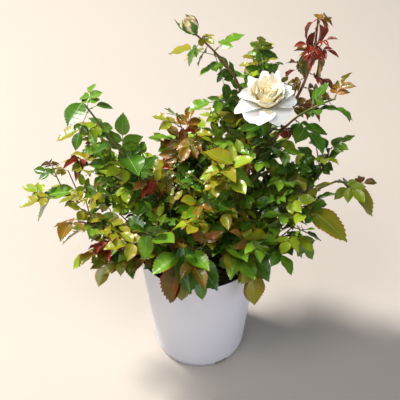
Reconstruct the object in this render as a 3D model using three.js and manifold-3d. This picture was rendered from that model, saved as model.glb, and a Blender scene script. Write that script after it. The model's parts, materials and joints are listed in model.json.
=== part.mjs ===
// Rose bush growing in its white pot: pot, potting mix, woody base, canes and side boughs, leafy shoots,
// one open bloom and one opening bud. Millimetres, +Z up, with the origin in the centre of the pot's flat
// underside. A place in the crown is given by its heading (degrees from +X towards +Y), its spread (distance
// from the pot's axis) and its height above the ground.

import * as THREE from 'three';
import { mergeVertices } from 'three/addons/utils/BufferGeometryUtils.js';
import Module from 'manifold-3d';

const wasm = await Module();
wasm.setup();
const { Manifold } = wasm;

// Gap kept between two pieces that touch
const SEAT_GAP = 0.3;

// Pot, with drain notches cut through its lower edge
const POT = {
  height: 260, rimRadius: 112.5, footRadius: 87, wall: 2.4, floor: 3, sides: 40,
  beadProud: 1.3, beadHeight: 5, footInset: 1.4, footBand: 8,
  notches: 3, notchHeading: -61, notchWidth: 25, notchHeight: 7, notchDepth: 14,
};

// Potting mix, slightly domed, with a flat middle under the woody base
const MIX = {
  edgeHeight: 233, bulgeRadius: 81, bulgeHeight: 235.8, topHeight: 237, flatRadius: 34, sides: 24,
};

// Woody base: a root flare on a flat cut, under the knob that the canes rise from
const BASE = {
  flareRadius: 29, flareHeight: 5, waist: 23, knobRadius: 24, knobHeight: 22, sides: 16, arcSteps: 5,
};

// Limb sections and steps
const LIMB = { sides: 6, steps: 5, parallelStart: 0.42 };
const STEM = { sides: 5, steps: 5, tipRadius: 1.4 };

// Lifts of the outer and the inner ring of canes where they leave the knob
const OUTER_LIFT = 34;
const INNER_LIFT = 64;

// Compound leaf: where the leaves sit on the stem and how they turn round it, how the stalk rises and droops,
// and how its three leaflets spread. Each try strays further and is a little smaller. Lengths are shares of
// the leaflet, which shrinks towards the stem's tip
const LEAF = {
  turn: 137.5, firstNode: 0.12, lastNode: 0.97, rise: 42, upward: 0.3, taper: [1.15, 0.8],
  headingJitter: 18, headingStep: 18, riseJitter: 12, riseStep: 6, rollJitter: 24, sagRange: [0.75, 1.25],
  reach: 0.9, stalkRadius: 1.1, stalkTip: 0.9, stalkSides: 3, stalkSamples: [0.5, 0.75, 1],
  endPlace: 0.97, pairPlace: 0.68, pairSize: 0.9, pairSpread: 58, spreadJitter: 8, hang: [0.05, 0.35],
  faceJitter: 14, sizeRange: [0.88, 1.1], leafletRange: [0.92, 1.06],
  leaflets: 3, fewest: 2, tries: 14, shrink: 0.03, apart: 0.27,
};

// Sag of a single leaf below the line from its node to its tip, as a share of the leaf
const SINGLE_SAG = 0.15;

// Leaflet outline in shares of its length, with a second pair of shoulders from the large length up
const BLADE = {
  width: 0.64, widest: 0.43, shoulders: [0.43], largeShoulders: [0.25, 0.64], large: 50, fold: 0.1,
  thickness: 0.03, samples: [0.2, 0.5, 0.8],
};

// Room that a leaf keeps from the limbs, the rim and the ground, and from the edge of its shoot's space. The
// spaces are shared out by distance from the stems in leaflet lengths
const ROOM = { limb: 2.4, space: 0.07, rimHeight: 269, rimReach: 124, ground: 25 };

// Bloom: rings of petals round a heart, from the guard petals inwards
const BLOOM = {
  tilt: 4, tiltHeading: -80, keepOut: { radius: 66, below: -14, above: 52 },
  thickness: 1.3, columns: 3, rows: 2, heartSides: 12,
  heart: [[0, 0], [4, 0], [9, 6], [9, 16], [7, 27], [0, 32]],
};
const PETAL_RINGS = [
  { petals: 5, first: 232, length: 61, setOff: 42, end: 112, root: [3.5, 2], notch: 0.3, lift: 5 },
  { petals: 5, first: 268, length: 55, setOff: 34, end: 86, root: [4, 4], notch: 0.26, lift: 3 },
  { petals: 5, first: 20, length: 46, setOff: 24, end: 56, root: [5, 7], notch: 0.2, lift: 2 },
  { petals: 4, first: 75, length: 38, setOff: 16, end: 30, root: [6, 10], notch: 0.16, lift: 1 },
];

// Opening bud
const BUD = {
  egg: [[0, 0], [4, 0], [5.5, 4], [12.5, 12], [13.5, 20], [11.5, 30], [7, 36], [0, 38]], sides: 10,
  sepals: 5, sepalFoot: 6, sepalRadius: 7, sepalLength: 29, sepalSpread: 17,
  keepOut: { radius: 20, below: -4, above: 44 },
};

const COLOURS = {
  pot: '#e9eaf2', mix: '#2b211b', bark: '#6b4a33', cane: '#6e5a34', green: '#4d7a2c', olive: '#8a9a35',
  bronze: '#9a6a30', red: '#8c2f2a', bloom: '#f6efd9', bud: '#efd9b0',
};

// Canes: heading and lift at the knob, place of the tip (heading, spread, height) and radii
const CANES = [
  cane('cane_right', -14, OUTER_LIFT, [11, 200, 368], 4.4, 2.7),
  cane('cane_back_right', 34, OUTER_LIFT, [48, 82, 318], 4.0, 2.6),
  cane('cane_back_left', 120, OUTER_LIFT, [130, 78, 296], 3.8, 2.5),
  cane('cane_tall_left', 160, OUTER_LIFT, [165, 98, 374], 4.2, 2.8),
  cane('cane_far_left', 196, OUTER_LIFT, [176, 96, 326], 4.2, 2.6),
  cane('cane_low_left', 238, OUTER_LIFT, [228, 58, 296], 3.8, 2.5),
  cane('cane_front', 276, OUTER_LIFT, [266, 44, 294], 3.8, 2.5),
  cane('cane_front_right', 312, OUTER_LIFT, [312, 54, 296], 4.0, 2.6),
  cane('cane_bud', 105, INNER_LIFT, [52, 98, 470], 4.6, 3.0),
  cane('cane_bloom', -25, INNER_LIFT, [6, 86, 390], 4.8, 3.1),
  cane('cane_red', 40, INNER_LIFT, [30, 165, 485], 4.4, 2.7),
  cane('cane_centre', 215, INNER_LIFT, [160, 30, 330], 4.2, 2.6),
];

// Side boughs: the cane that each leaves, how far along it, the place of the tip and radii
const BOUGHS = [
  bough('bough_rear', 'cane_bud', 0.62, [47, 134, 480], 2.7, 2.1),
  bough('bough_right_upper', 'cane_red', 0.6, [11, 158, 522], 2.7, 2.0),
  bough('bough_right_centre', 'cane_bloom', 0.4, [0, 92, 345], 2.6, 2.0),
  bough('bough_centre_light', 'cane_front_right', 0.4, [-32, 36, 322], 2.8, 2.1),
  bough('bough_far_right', 'cane_right', 0.84, [9, 245, 377], 2.3, 1.8),
  bough('bough_big_leaf', 'cane_right', 0.36, [-8, 110, 322], 2.7, 2.1),
  bough('bough_low_right', 'cane_front_right', 0.6, [-24, 92, 298], 2.5, 2.0),
  bough('bough_centre_front', 'cane_front', 0.6, [284, 30, 318], 2.5, 2.0),
  bough('bough_left_mid', 'cane_tall_left', 0.62, [163, 128, 366], 2.4, 1.9),
  bough('bough_centre_left', 'cane_tall_left', 0.4, [176, 56, 330], 2.5, 2.0),
  bough('bough_lower_left', 'cane_far_left', 0.58, [194, 104, 318], 2.5, 2.0),
  bough('bough_low_left', 'cane_low_left', 0.6, [208, 94, 290], 2.4, 1.9),
  bough('bough_back_centre', 'cane_back_left', 0.5, [90, 76, 326], 2.5, 2.0),
  bough('bough_back_low_right', 'cane_back_right', 0.5, [20, 112, 298], 2.4, 1.9),
];

// Leafy shoots, each in line with the tip of its limb: place of its own tip, number of leaves, length of an
// end leaflet, heading of its first leaf, droop of the leaf stalks and leaf colour. A single leaf that stands
// out of the crown is given by how far along the stem it leaves, the place of its tip and its length
const SHOOTS = [
  shoot('leaves_bud', 'cane_bud', [94, 75, 668], { leaves: 5, leaflet: 36, first: 175, droop: 0.4,
    singles: [[0.8, [113, 144, 594], 50], [0.95, [109, 72, 609], 30], [0.85, [47, 73, 545], 30]] }),
  shoot('leaves_bloom', 'cane_bloom', [8, 112, 566], { leaves: 7, leaflet: 42, first: 215, droop: 0.6 }),
  shoot('leaves_red_tip', 'cane_red', [27, 218, 684], { leaves: 7, leaflet: 38, first: 300, droop: 1.9,
    singles: [[0.8, [26, 172, 556], 30], [0.85, [25, 229, 560], 50], [0.8, [35, 222, 547], 50]],
    colour: 'red' }),
  shoot('leaves_rear', 'bough_rear', [48, 161, 607], { leaves: 7, leaflet: 42, first: 130, droop: 0.6 }),
  shoot('leaves_right_upper', 'bough_right_upper', [5, 226, 580], { leaves: 5, leaflet: 44, first: -60,
    droop: 0.7 }),
  shoot('leaves_right_centre', 'bough_right_centre', [0, 140, 432], { leaves: 8, leaflet: 50, first: 200,
    droop: 0.6 }),
  shoot('leaves_centre_light', 'bough_centre_light', [-34, 54, 480], { leaves: 8, leaflet: 50, first: 20,
    droop: 0.6, colour: 'olive' }),
  shoot('leaves_right', 'cane_right', [12, 234, 448], { leaves: 6, leaflet: 38, first: 60, droop: 0.5,
    singles: [[0.9, [27, 223, 427], 55]] }),
  shoot('leaves_far_right', 'bough_far_right', [7, 276, 371], { leaves: 3, leaflet: 44, first: -25,
    droop: 1.1, colour: 'olive', singles: [[0.5, [1, 324, 321], 65], [1, [4, 242, 354], 30]] }),
  shoot('leaves_big_leaf', 'bough_big_leaf', [-10, 205, 378], { leaves: 5, leaflet: 62, first: 160,
    droop: 0.7, colour: 'olive', singles: [[0.85, [-21, 277, 371], 95]] }),
  shoot('leaves_low_right', 'bough_low_right', [-19, 184, 348], { leaves: 7, leaflet: 50, first: -60,
    droop: 0.6 }),
  shoot('leaves_front_right', 'cane_front_right', [-46, 132, 330], { leaves: 7, leaflet: 54, first: -100,
    droop: 0.8, singles: [[0.05, [-50, 130, 317], 70], [0.9, [-57, 180, 252], 45],
      [0.45, [-42, 169, 280], 35]] }),
  shoot('leaves_front', 'cane_front', [256, 110, 335], { leaves: 7, leaflet: 56, first: 268, droop: 0.8,
    singles: [[1, [-96, 140, 270], 65], [0.97, [-110, 162, 255], 70], [0.5, [-87, 140, 254], 35]] }),
  shoot('leaves_centre_front', 'bough_centre_front', [276, 50, 410], { leaves: 7, leaflet: 48, first: 230,
    droop: 0.6 }),
  shoot('leaves_left_front', 'cane_low_left', [229, 138, 366], { leaves: 8, leaflet: 52, first: 300,
    droop: 0.6, singles: [[1, [-126, 160, 346], 45]] }),
  shoot('leaves_low_left', 'bough_low_left', [201, 181, 310], { leaves: 7, leaflet: 48, first: 250,
    droop: 0.8, colour: 'red', singles: [[0.85, [-160, 246, 282], 40], [0.3, [-161, 211, 281], 45]] }),
  shoot('leaves_lower_left', 'bough_lower_left', [188, 214, 344], { leaves: 6, leaflet: 46, first: 100,
    droop: 0.6, colour: 'bronze', singles: [[0.35, [-170, 144, 293], 40], [1, [-151, 265, 404], 55]] }),
  shoot('leaves_far_left', 'cane_far_left', [176, 272, 358], { leaves: 6, leaflet: 42, first: 195,
    droop: 0.5, singles: [[0.65, [-174, 266, 332], 35], [0.9, [-177, 322, 371], 40],
      [0.95, [177, 308, 302], 60], [0.85, [173, 293, 349], 70]] }),
  shoot('leaves_left_mid', 'bough_left_mid', [158, 226, 384], { leaves: 6, leaflet: 44, first: 120,
    droop: 0.5, colour: 'olive' }),
  shoot('leaves_tall_left', 'cane_tall_left', [167, 199, 548], { leaves: 6, leaflet: 42, first: 76,
    droop: 0.6, singles: [[0.8, [177, 246, 495], 45], [0.95, [-175, 211, 497], 30],
      [1, [-177, 220, 550], 55], [0.4, [-160, 108, 466], 70]] }),
  shoot('leaves_centre_left', 'bough_centre_left', [158, 76, 400], { leaves: 7, leaflet: 46, first: 240,
    droop: 0.6, colour: 'bronze' }),
  shoot('leaves_centre', 'cane_centre', [95, 55, 470], { leaves: 7, leaflet: 46, first: 200, droop: 0.6,
    colour: 'bronze' }),
  shoot('leaves_back_left', 'cane_back_left', [142, 176, 322], { leaves: 5, leaflet: 54, first: 90,
    droop: 0.7 }),
  shoot('leaves_back_right', 'cane_back_right', [58, 155, 395], { leaves: 5, leaflet: 56, first: 20,
    droop: 0.6 }),
  shoot('leaves_back_centre', 'bough_back_centre', [92, 145, 366], { leaves: 5, leaflet: 56, first: 150,
    droop: 0.6 }),
  shoot('leaves_back_low_right', 'bough_back_low_right', [22, 198, 322], { leaves: 5, leaflet: 54,
    first: 0, droop: 0.7 }),
];

function cane(name, heading, lift, tip, footRadius, tipRadius) {
  return { name, heading, lift, tip, footRadius, tipRadius };
}

function bough(name, parent, along, tip, footRadius, tipRadius) {
  return { name, parent, along, tip, footRadius, tipRadius };
}

function shoot(name, limb, tip, habit) {
  return { name, limb, tip, colour: 'green', singles: [], ...habit };
}

// Vectors and places
const UP = new THREE.Vector3(0, 0, 1);

function radians(degrees) {
  return degrees * Math.PI / 180;
}

function mix(a, b, share) {
  return a + (b - a) * share;
}

function place([heading, spread, height]) {
  return new THREE.Vector3(spread * Math.cos(radians(heading)), spread * Math.sin(radians(heading)), height);
}

function direction(heading, lift) {
  const flat = Math.cos(radians(lift));
  return new THREE.Vector3(flat * Math.cos(radians(heading)), flat * Math.sin(radians(heading)),
    Math.sin(radians(lift)));
}

function along(point, vector, distance) {
  return point.clone().addScaledVector(vector, distance);
}

function across(vector, axis) {
  return vector.clone().addScaledVector(axis, -vector.dot(axis)).normalize();
}

function turned(vector, axis, degrees) {
  return vector.clone().applyAxisAngle(axis, radians(degrees));
}

// Repeatable dice: each leaf and each try throws its own, so one leaf never changes the next
const DICE = {
  modulus: 2147483647, factor: 16807, start: 4211, shootStep: 7919, leafStep: 104729, tryStep: 1299709,
};

class Dice {
  constructor(shootNumber, leafNumber, tryNumber) {
    const steps = shootNumber * DICE.shootStep + leafNumber * DICE.leafStep + tryNumber * DICE.tryStep;
    this.state = (DICE.start + steps) % DICE.modulus;
    this.share();
    this.share();
  }

  share() {
    this.state = (this.state * DICE.factor) % DICE.modulus;
    return this.state / DICE.modulus;
  }

  between(low, high) {
    return mix(low, high, this.share());
  }
}

// Closed meshes and solids
function geometryOf(points, triangles) {
  const geometry = new THREE.BufferGeometry();
  const positions = points.flatMap((point) => [point.x, point.y, point.z]);
  geometry.setAttribute('position', new THREE.Float32BufferAttribute(positions, 3));
  geometry.setIndex(triangles);
  return geometry;
}

function solidOf(geometry) {
  const bare = geometry.clone();
  bare.deleteAttribute('normal');
  bare.deleteAttribute('uv');
  const merged = mergeVertices(bare, 1e-4);
  const mesh = new wasm.Mesh({
    numProp: 3,
    vertProperties: new Float32Array(merged.attributes.position.array),
    triVerts: new Uint32Array(merged.index.array),
  });
  return new Manifold(mesh);
}

function geometryFrom(solid) {
  const mesh = solid.getMesh();
  const geometry = new THREE.BufferGeometry();
  geometry.setAttribute('position', new THREE.Float32BufferAttribute(mesh.vertProperties, 3));
  geometry.setIndex(Array.from(mesh.triVerts));
  return geometry;
}

// The largest body of a union: a void that fusing sealed and a loose scrap are both left behind
const FINEST_DETAIL = 0.1;

function fused(solids) {
  const bodies = Manifold.union(solids).asOriginal().simplify(FINEST_DETAIL).decompose();
  return bodies.reduce((largest, body) => (body.volume() > largest.volume() ? body : largest));
}

function evenShares(steps) {
  return Array.from({ length: steps + 1 }, (unused, step) => step / steps);
}

// Tube along a curve with flat ends, a ring at each given share of its length and an even taper
const STEEP = 0.9;

function taperedTube(curve, startRadius, endRadius, sides, shares) {
  const points = [];
  const triangles = [];
  const firstTangent = curve.getTangent(0);
  let side = across(Math.abs(firstTangent.z) > STEEP ? new THREE.Vector3(1, 0, 0) : UP, firstTangent);
  for (const share of shares) {
    const centre = curve.getPoint(share);
    const tangent = curve.getTangent(share);
    side = across(side, tangent);
    const other = new THREE.Vector3().crossVectors(tangent, side);
    for (let corner = 0; corner < sides; corner += 1) {
      const angle = corner * 2 * Math.PI / sides;
      const radius = mix(startRadius, endRadius, share);
      points.push(along(along(centre, side, radius * Math.cos(angle)), other, radius * Math.sin(angle)));
    }
  }
  const steps = shares.length - 1;
  for (let step = 0; step < steps; step += 1) {
    for (let corner = 0; corner < sides; corner += 1) {
      const here = step * sides + corner;
      const beside = step * sides + (corner + 1) % sides;
      triangles.push(here, beside, beside + sides, here, beside + sides, here + sides);
    }
  }
  const last = steps * sides;
  for (let corner = 1; corner < sides - 1; corner += 1) {
    triangles.push(0, corner + 1, corner, last, last + corner, last + corner + 1);
  }
  return geometryOf(points, triangles);
}

function lathe(profile, sides) {
  const points = profile.map(([radius, height]) => new THREE.Vector2(radius, height));
  return new THREE.LatheGeometry(points, sides).rotateX(Math.PI / 2);
}

// Pot and potting mix
function potRadius(height) {
  return mix(POT.footRadius, POT.rimRadius, height / POT.height);
}

function potGeometry() {
  const beadFoot = POT.height - POT.beadHeight;
  const shell = solidOf(lathe([
    [0, 0],
    [POT.footRadius - POT.footInset, 0],
    [potRadius(POT.footBand) - POT.footInset, POT.footBand],
    [potRadius(POT.footBand), POT.footBand + POT.footInset],
    [potRadius(beadFoot), beadFoot],
    [potRadius(beadFoot) + POT.beadProud, beadFoot + POT.beadProud],
    [POT.rimRadius + POT.beadProud, POT.height],
    [POT.rimRadius - POT.wall, POT.height],
    [potRadius(POT.floor) - POT.wall, POT.floor],
    [0, POT.floor],
  ], POT.sides));
  const cutters = [];
  for (let notch = 0; notch < POT.notches; notch += 1) {
    const heading = radians(POT.notchHeading + notch * 360 / POT.notches);
    const box = new THREE.BoxGeometry(POT.notchDepth, POT.notchWidth, POT.notchHeight * 2);
    box.rotateZ(heading);
    const reach = POT.footRadius;
    box.translate(reach * Math.cos(heading), reach * Math.sin(heading), 0);
    cutters.push(solidOf(box));
  }
  return geometryFrom(shell.subtract(Manifold.union(cutters)));
}

function mixGeometry() {
  const foot = POT.floor + SEAT_GAP;
  const inside = POT.wall + SEAT_GAP;
  return lathe([
    [0, foot],
    [potRadius(foot) - inside, foot],
    [potRadius(MIX.edgeHeight) - inside, MIX.edgeHeight],
    [MIX.bulgeRadius, MIX.bulgeHeight],
    [MIX.flatRadius, MIX.topHeight],
    [0, MIX.topHeight],
  ], MIX.sides);
}

// Woody base
const BASE_FOOT = MIX.topHeight + SEAT_GAP;
const KNOB = new THREE.Vector3(0, 0, BASE_FOOT + BASE.knobHeight);

function baseGeometry() {
  const profile = [[0, BASE_FOOT], [BASE.flareRadius, BASE_FOOT], [BASE.waist, BASE_FOOT + BASE.flareHeight]];
  const lowest = Math.acos(BASE.waist / BASE.knobRadius);
  for (let step = 0; step <= BASE.arcSteps; step += 1) {
    const angle = mix(-lowest, Math.PI / 2, step / BASE.arcSteps);
    const radius = step === BASE.arcSteps ? 0 : BASE.knobRadius * Math.cos(angle);
    profile.push([radius, KNOB.z + BASE.knobRadius * Math.sin(angle)]);
  }
  return lathe(profile, BASE.sides);
}

// Limbs
function limbCurve(start, aim, tip) {
  const middle = along(start, aim, LIMB.parallelStart * start.distanceTo(tip));
  return new THREE.QuadraticBezierCurve3(start, middle, tip);
}

function growCane({ name, heading, lift, tip, footRadius, tipRadius }) {
  const aim = direction(heading, lift);
  const curve = limbCurve(along(KNOB, aim, BASE.knobRadius + SEAT_GAP), aim, place(tip));
  return { name, curve, footRadius, tipRadius };
}

// A bough leaves its cane's flank, with the edge of its flat foot the seat gap clear of the bark
const BOUGH_LEAN = 0.7;

function growBough({ name, parent, along: share, tip, footRadius, tipRadius }, limbs) {
  const from = limbs.get(parent);
  const centre = from.curve.getPoint(share);
  const axis = from.curve.getTangent(share);
  const towards = place(tip).sub(centre).normalize();
  const aim = axis.clone().multiplyScalar(1 - BOUGH_LEAN).addScaledVector(towards, BOUGH_LEAN).normalize();
  const outward = across(aim, axis);
  const flank = mix(from.footRadius, from.tipRadius, share) + SEAT_GAP + footRadius * aim.dot(axis);
  const curve = limbCurve(along(centre, outward, flank), aim, place(tip));
  return { name, curve, footRadius, tipRadius };
}

// A shoot's stem runs on from the tip of its limb
function growShoot(habit, number, limbs) {
  const limb = limbs.get(habit.limb);
  const aim = limb.curve.getTangent(1);
  const curve = limbCurve(along(limb.curve.getPoint(1), aim, SEAT_GAP), aim, place(habit.tip));
  return { ...habit, number, curve, footRadius: limb.tipRadius };
}

// Distances that share the crown out among the shoots
function polyline(curve, steps) {
  return evenShares(steps).map((share) => curve.getPoint(share));
}

function pointOnLine(line, share) {
  const step = Math.min(Math.floor(share * (line.length - 1)), line.length - 2);
  return line[step].clone().lerp(line[step + 1], share * (line.length - 1) - step);
}

function distanceToLine(point, line) {
  const segment = new THREE.Line3();
  const nearest = new THREE.Vector3();
  let distance = Infinity;
  for (let step = 0; step + 1 < line.length; step += 1) {
    segment.set(line[step], line[step + 1]).closestPointToPoint(point, true, nearest);
    distance = Math.min(distance, nearest.distanceTo(point));
  }
  return distance;
}

class Crown {
  constructor(limbs, shoots, flowers) {
    this.limbLines = [...limbs.values()].map((limb) => ({ limb, line: polyline(limb.curve, LIMB.steps) }));
    this.stems = new Map(shoots.map((one) => [
      one.name, { line: polyline(one.curve, STEM.steps), size: one.leaflet },
    ]));
    this.flowers = flowers;
  }

  clearOfPot(point) {
    const outside = Math.hypot(point.x, point.y) > ROOM.rimReach;
    return point.z > ROOM.rimHeight || (point.z > ROOM.ground && outside);
  }

  clearOfFlowers(point) {
    return this.flowers.every(({ seat, axis, keepOut }) => {
      const fromSeat = point.clone().sub(seat);
      const height = fromSeat.dot(axis);
      const reach = fromSeat.addScaledVector(axis, -height).length();
      return reach > keepOut.radius || height < keepOut.below || height > keepOut.above;
    });
  }

  clearOfLimbs(point) {
    return this.limbLines.every(({ limb, line }) => (
      distanceToLine(point, line) > limb.footRadius + ROOM.limb));
  }

  inOwnSpace(shootName, point) {
    const share = ({ line, size }) => distanceToLine(point, line) / size;
    const own = share(this.stems.get(shootName));
    return [...this.stems].every(([name, stem]) => name === shootName || share(stem) > own + ROOM.space);
  }

  allows(shootName, point) {
    return this.clearOfPot(point) && this.clearOfFlowers(point) && this.clearOfLimbs(point)
      && this.inOwnSpace(shootName, point);
  }
}

// One leaflet: its frame, its length, and the solid blade folded along the midrib
class Leaflet {
  constructor(root, aim, face, length) {
    this.root = root;
    this.aim = aim;
    this.face = across(face, aim);
    this.side = new THREE.Vector3().crossVectors(this.face, this.aim);
    this.length = length;
    this.middle = this.at(0.5, 0, 0);
  }

  at(forward, sideways, raise) {
    const point = along(this.root, this.aim, forward * this.length);
    return along(along(point, this.side, sideways * this.length), this.face, raise * this.length);
  }

  edge(forward, hand) {
    return this.at(forward, hand * BLADE.width / 2, BLADE.fold);
  }

  samples() {
    const edges = BLADE.samples.flatMap((forward) => [this.edge(forward, 1), this.edge(forward, -1)]);
    return [...edges, this.middle, this.at(1, 0, 0)];
  }

  solid() {
    const shoulders = this.length > BLADE.large ? BLADE.largeShoulders : BLADE.shoulders;
    const left = shoulders.map((forward) => this.edge(forward, 1));
    const right = shoulders.map((forward) => this.edge(forward, -1)).reverse();
    const rim = [this.root, ...left, this.at(1, 0, 0), ...right];
    const half = BLADE.thickness / 2;
    const crease = [half, -half].map((raise) => this.at(BLADE.widest, 0, raise));
    const triangles = rim.flatMap((unused, corner) => {
      const next = (corner + 1) % rim.length;
      return [rim.length, next, corner, rim.length + 1, corner, next];
    });
    return solidOf(geometryOf([...rim, ...crease], triangles));
  }
}

// A leaf: leaflets on a straight stalk that leaves the stem
class Leaf {
  constructor(start, aim, reach) {
    this.start = start;
    this.aim = aim;
    this.reach = reach;
    this.leaflets = [];
    this.fewest = LEAF.fewest;
  }

  stalkPoint(share) {
    return along(this.start, this.aim, share * this.reach);
  }

  // Drops the leaflets that would leave the space or crowd another leaf, and the leaf if too few are left
  trimmed(plan, crown, taken) {
    const allowed = (point) => crown.allows(plan.name, point);
    const apart = (one, other) => (
      one.middle.distanceTo(other.middle) > LEAF.apart * (one.length + other.length));
    const stalkFits = LEAF.stalkSamples.every((share) => allowed(this.stalkPoint(share)));
    const fitting = this.leaflets.filter((leaflet) => (
      taken.every((other) => apart(leaflet, other)) && leaflet.samples().every(allowed)));
    this.leaflets = stalkFits && fitting.length >= this.fewest ? fitting : [];
    return this;
  }

  solids() {
    const stalk = new THREE.LineCurve3(this.start, this.stalkPoint(1));
    const tube = taperedTube(stalk, LEAF.stalkRadius, LEAF.stalkTip, LEAF.stalkSides, [0, 1]);
    return [solidOf(tube), ...this.leaflets.map((leaflet) => leaflet.solid())];
  }
}

// A single leaf that sags a little on its way from the stem to the place of its tip
class SingleLeaf extends Leaf {
  constructor(plan, [share, tipPlace, length]) {
    const start = pointOnLine(polyline(plan.curve, STEM.steps), share);
    const tip = place(tipPlace);
    const towards = tip.clone().sub(start).normalize();
    const root = along(along(tip, towards, -length), UP, SINGLE_SAG * length);
    const stalk = root.clone().sub(start);
    super(start, stalk.clone().normalize(), stalk.length() / LEAF.endPlace);
    this.fewest = 1;
    this.leaflets = [new Leaflet(root, tip.clone().sub(root).normalize(), UP, tip.distanceTo(root))];
  }
}

// One compound leaf, laid out by the growth rule from its node on the stem
class CompoundLeaf extends Leaf {
  constructor(plan, leafNumber, tryNumber) {
    const dice = new Dice(plan.number, leafNumber, tryNumber);
    const node = mix(LEAF.firstNode, LEAF.lastNode, leafNumber / (plan.leaves - 1));
    const axis = plan.curve.getTangent(node);
    const stray = dice.between(-1, 1) * (LEAF.headingJitter + LEAF.headingStep * tryNumber);
    const heading = plan.first + leafNumber * LEAF.turn + stray;
    const outward = across(along(direction(heading, 0), UP, LEAF.upward), axis);
    const rise = radians(LEAF.rise + dice.between(-1, 1) * (LEAF.riseJitter + LEAF.riseStep * tryNumber));
    const size = plan.leaflet * mix(...LEAF.taper, node) * (1 - LEAF.shrink * tryNumber)
      * dice.between(...LEAF.sizeRange);
    const aim = outward.multiplyScalar(Math.cos(rise)).addScaledVector(axis, Math.sin(rise))
      .addScaledVector(UP, -plan.droop * dice.between(...LEAF.sagRange) / 2).normalize();
    super(pointOnLine(polyline(plan.curve, STEM.steps), node), aim, size * LEAF.reach);
    this.roll = dice.between(-1, 1) * LEAF.rollJitter;
    this.leaflets = [this.leaflet(LEAF.endPlace, 0, size, dice)];
    for (const hand of [1, -1]) {
      const turn = hand * LEAF.pairSpread + dice.between(-1, 1) * LEAF.spreadJitter;
      this.leaflets.push(this.leaflet(LEAF.pairPlace, turn, size * LEAF.pairSize, dice));
    }
  }

  leaflet(share, turn, size, dice) {
    const stalkFace = turned(across(UP, this.aim), this.aim, this.roll);
    const aim = along(turned(this.aim, stalkFace, turn), UP, -dice.between(...LEAF.hang)).normalize();
    const length = size * dice.between(...LEAF.leafletRange);
    const face = turned(across(stalkFace, aim), aim, dice.between(-1, 1) * LEAF.faceJitter);
    return new Leaflet(this.stalkPoint(share), aim, face, length);
  }
}

function growLeaves(plan, crown) {
  const singles = plan.singles.map((single) => new SingleLeaf(plan, single).trimmed(plan, crown, []));
  const leaves = singles.filter((leaf) => leaf.leaflets.length > 0);
  const taken = leaves.flatMap((leaf) => leaf.leaflets);
  for (let leafNumber = 0; leafNumber < plan.leaves; leafNumber += 1) {
    let best = new CompoundLeaf(plan, leafNumber, 0).trimmed(plan, crown, taken);
    for (let tryNumber = 1; tryNumber < LEAF.tries && best.leaflets.length < LEAF.leaflets; tryNumber += 1) {
      const leaf = new CompoundLeaf(plan, leafNumber, tryNumber).trimmed(plan, crown, taken);
      if (leaf.leaflets.length > best.leaflets.length) best = leaf;
    }
    if (best.leaflets.length > 0) leaves.push(best);
    taken.push(...best.leaflets);
  }
  return leaves;
}

function shootGeometry(shootPlan, crown) {
  const { curve, footRadius } = shootPlan;
  const stem = taperedTube(curve, footRadius, STEM.tipRadius, STEM.sides, evenShares(STEM.steps));
  const leaves = growLeaves(shootPlan, crown);
  return geometryFrom(fused([solidOf(stem), ...leaves.flatMap((leaf) => leaf.solids())]));
}

// A ring of petals: a thin cup whose wall is an arc that opens from the axis, with one lobe for each petal
function cupPoint(ring, turn, share, side) {
  const sideways = 2 * (turn * ring.petals % 1) - 1;
  const reach = share * (1 - ring.notch * Math.abs(sideways) ** 3);
  const start = radians(ring.setOff);
  const bend = radians(ring.end) - start;
  const lean = start + bend * reach;
  const offset = side * BLOOM.thickness / 2;
  const arcOut = ring.length * (Math.cos(start) - Math.cos(lean)) / bend;
  const arcUp = ring.length * (Math.sin(lean) - Math.sin(start)) / bend + ring.lift * share * sideways ** 2;
  const radial = ring.root[0] + arcOut + offset * Math.cos(lean);
  const height = ring.root[1] + arcUp - offset * Math.sin(lean);
  const heading = radians(ring.first) + turn * 2 * Math.PI;
  return new THREE.Vector3(radial * Math.cos(heading), radial * Math.sin(heading), height);
}

function cupSolid(ring) {
  const columns = ring.petals * BLOOM.columns;
  const profile = [];
  for (let row = 0; row <= BLOOM.rows; row += 1) profile.push([row / BLOOM.rows, 1]);
  for (let row = BLOOM.rows; row >= 0; row -= 1) profile.push([row / BLOOM.rows, -1]);
  const points = [];
  const triangles = [];
  for (let column = 0; column < columns; column += 1) {
    for (let step = 0; step < profile.length; step += 1) {
      points.push(cupPoint(ring, column / columns, ...profile[step]));
      const here = column * profile.length + step;
      const above = column * profile.length + (step + 1) % profile.length;
      const beside = (column + 1) % columns * profile.length;
      const besideHere = beside + step;
      const besideAbove = beside + (step + 1) % profile.length;
      triangles.push(here, besideHere, besideAbove, here, besideAbove, above);
    }
  }
  return solidOf(geometryOf(points, triangles));
}

function bloomGeometry() {
  return geometryFrom(fused([solidOf(lathe(BLOOM.heart, BLOOM.heartSides)), ...PETAL_RINGS.map(cupSolid)]));
}

// Bud: an egg of wrapped petals with slim sepals lying along it
function budGeometry() {
  const sepals = Array.from({ length: BUD.sepals }, (unused, number) => {
    const heading = number * 360 / BUD.sepals;
    const root = along(new THREE.Vector3(0, 0, BUD.sepalFoot), direction(heading, 0), BUD.sepalRadius);
    const tip = along(new THREE.Vector3(0, 0, BUD.sepalLength), direction(heading, 0), BUD.sepalSpread);
    return new Leaflet(root, tip.sub(root).normalize(), direction(heading, 0), BUD.sepalLength).solid();
  });
  return geometryFrom(fused([solidOf(lathe(BUD.egg, BUD.sides)), ...sepals]));
}

function flowerPlacement({ seat, axis }) {
  return new THREE.Matrix4().makeRotationFromQuaternion(new THREE.Quaternion().setFromUnitVectors(UP, axis))
    .setPosition(seat);
}

// A flower sits on the tip of its shoot
function flowerOn(shootPlan, axis, keepOut) {
  return { seat: along(shootPlan.curve.getPoint(1), axis, SEAT_GAP), axis, keepOut };
}

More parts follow.
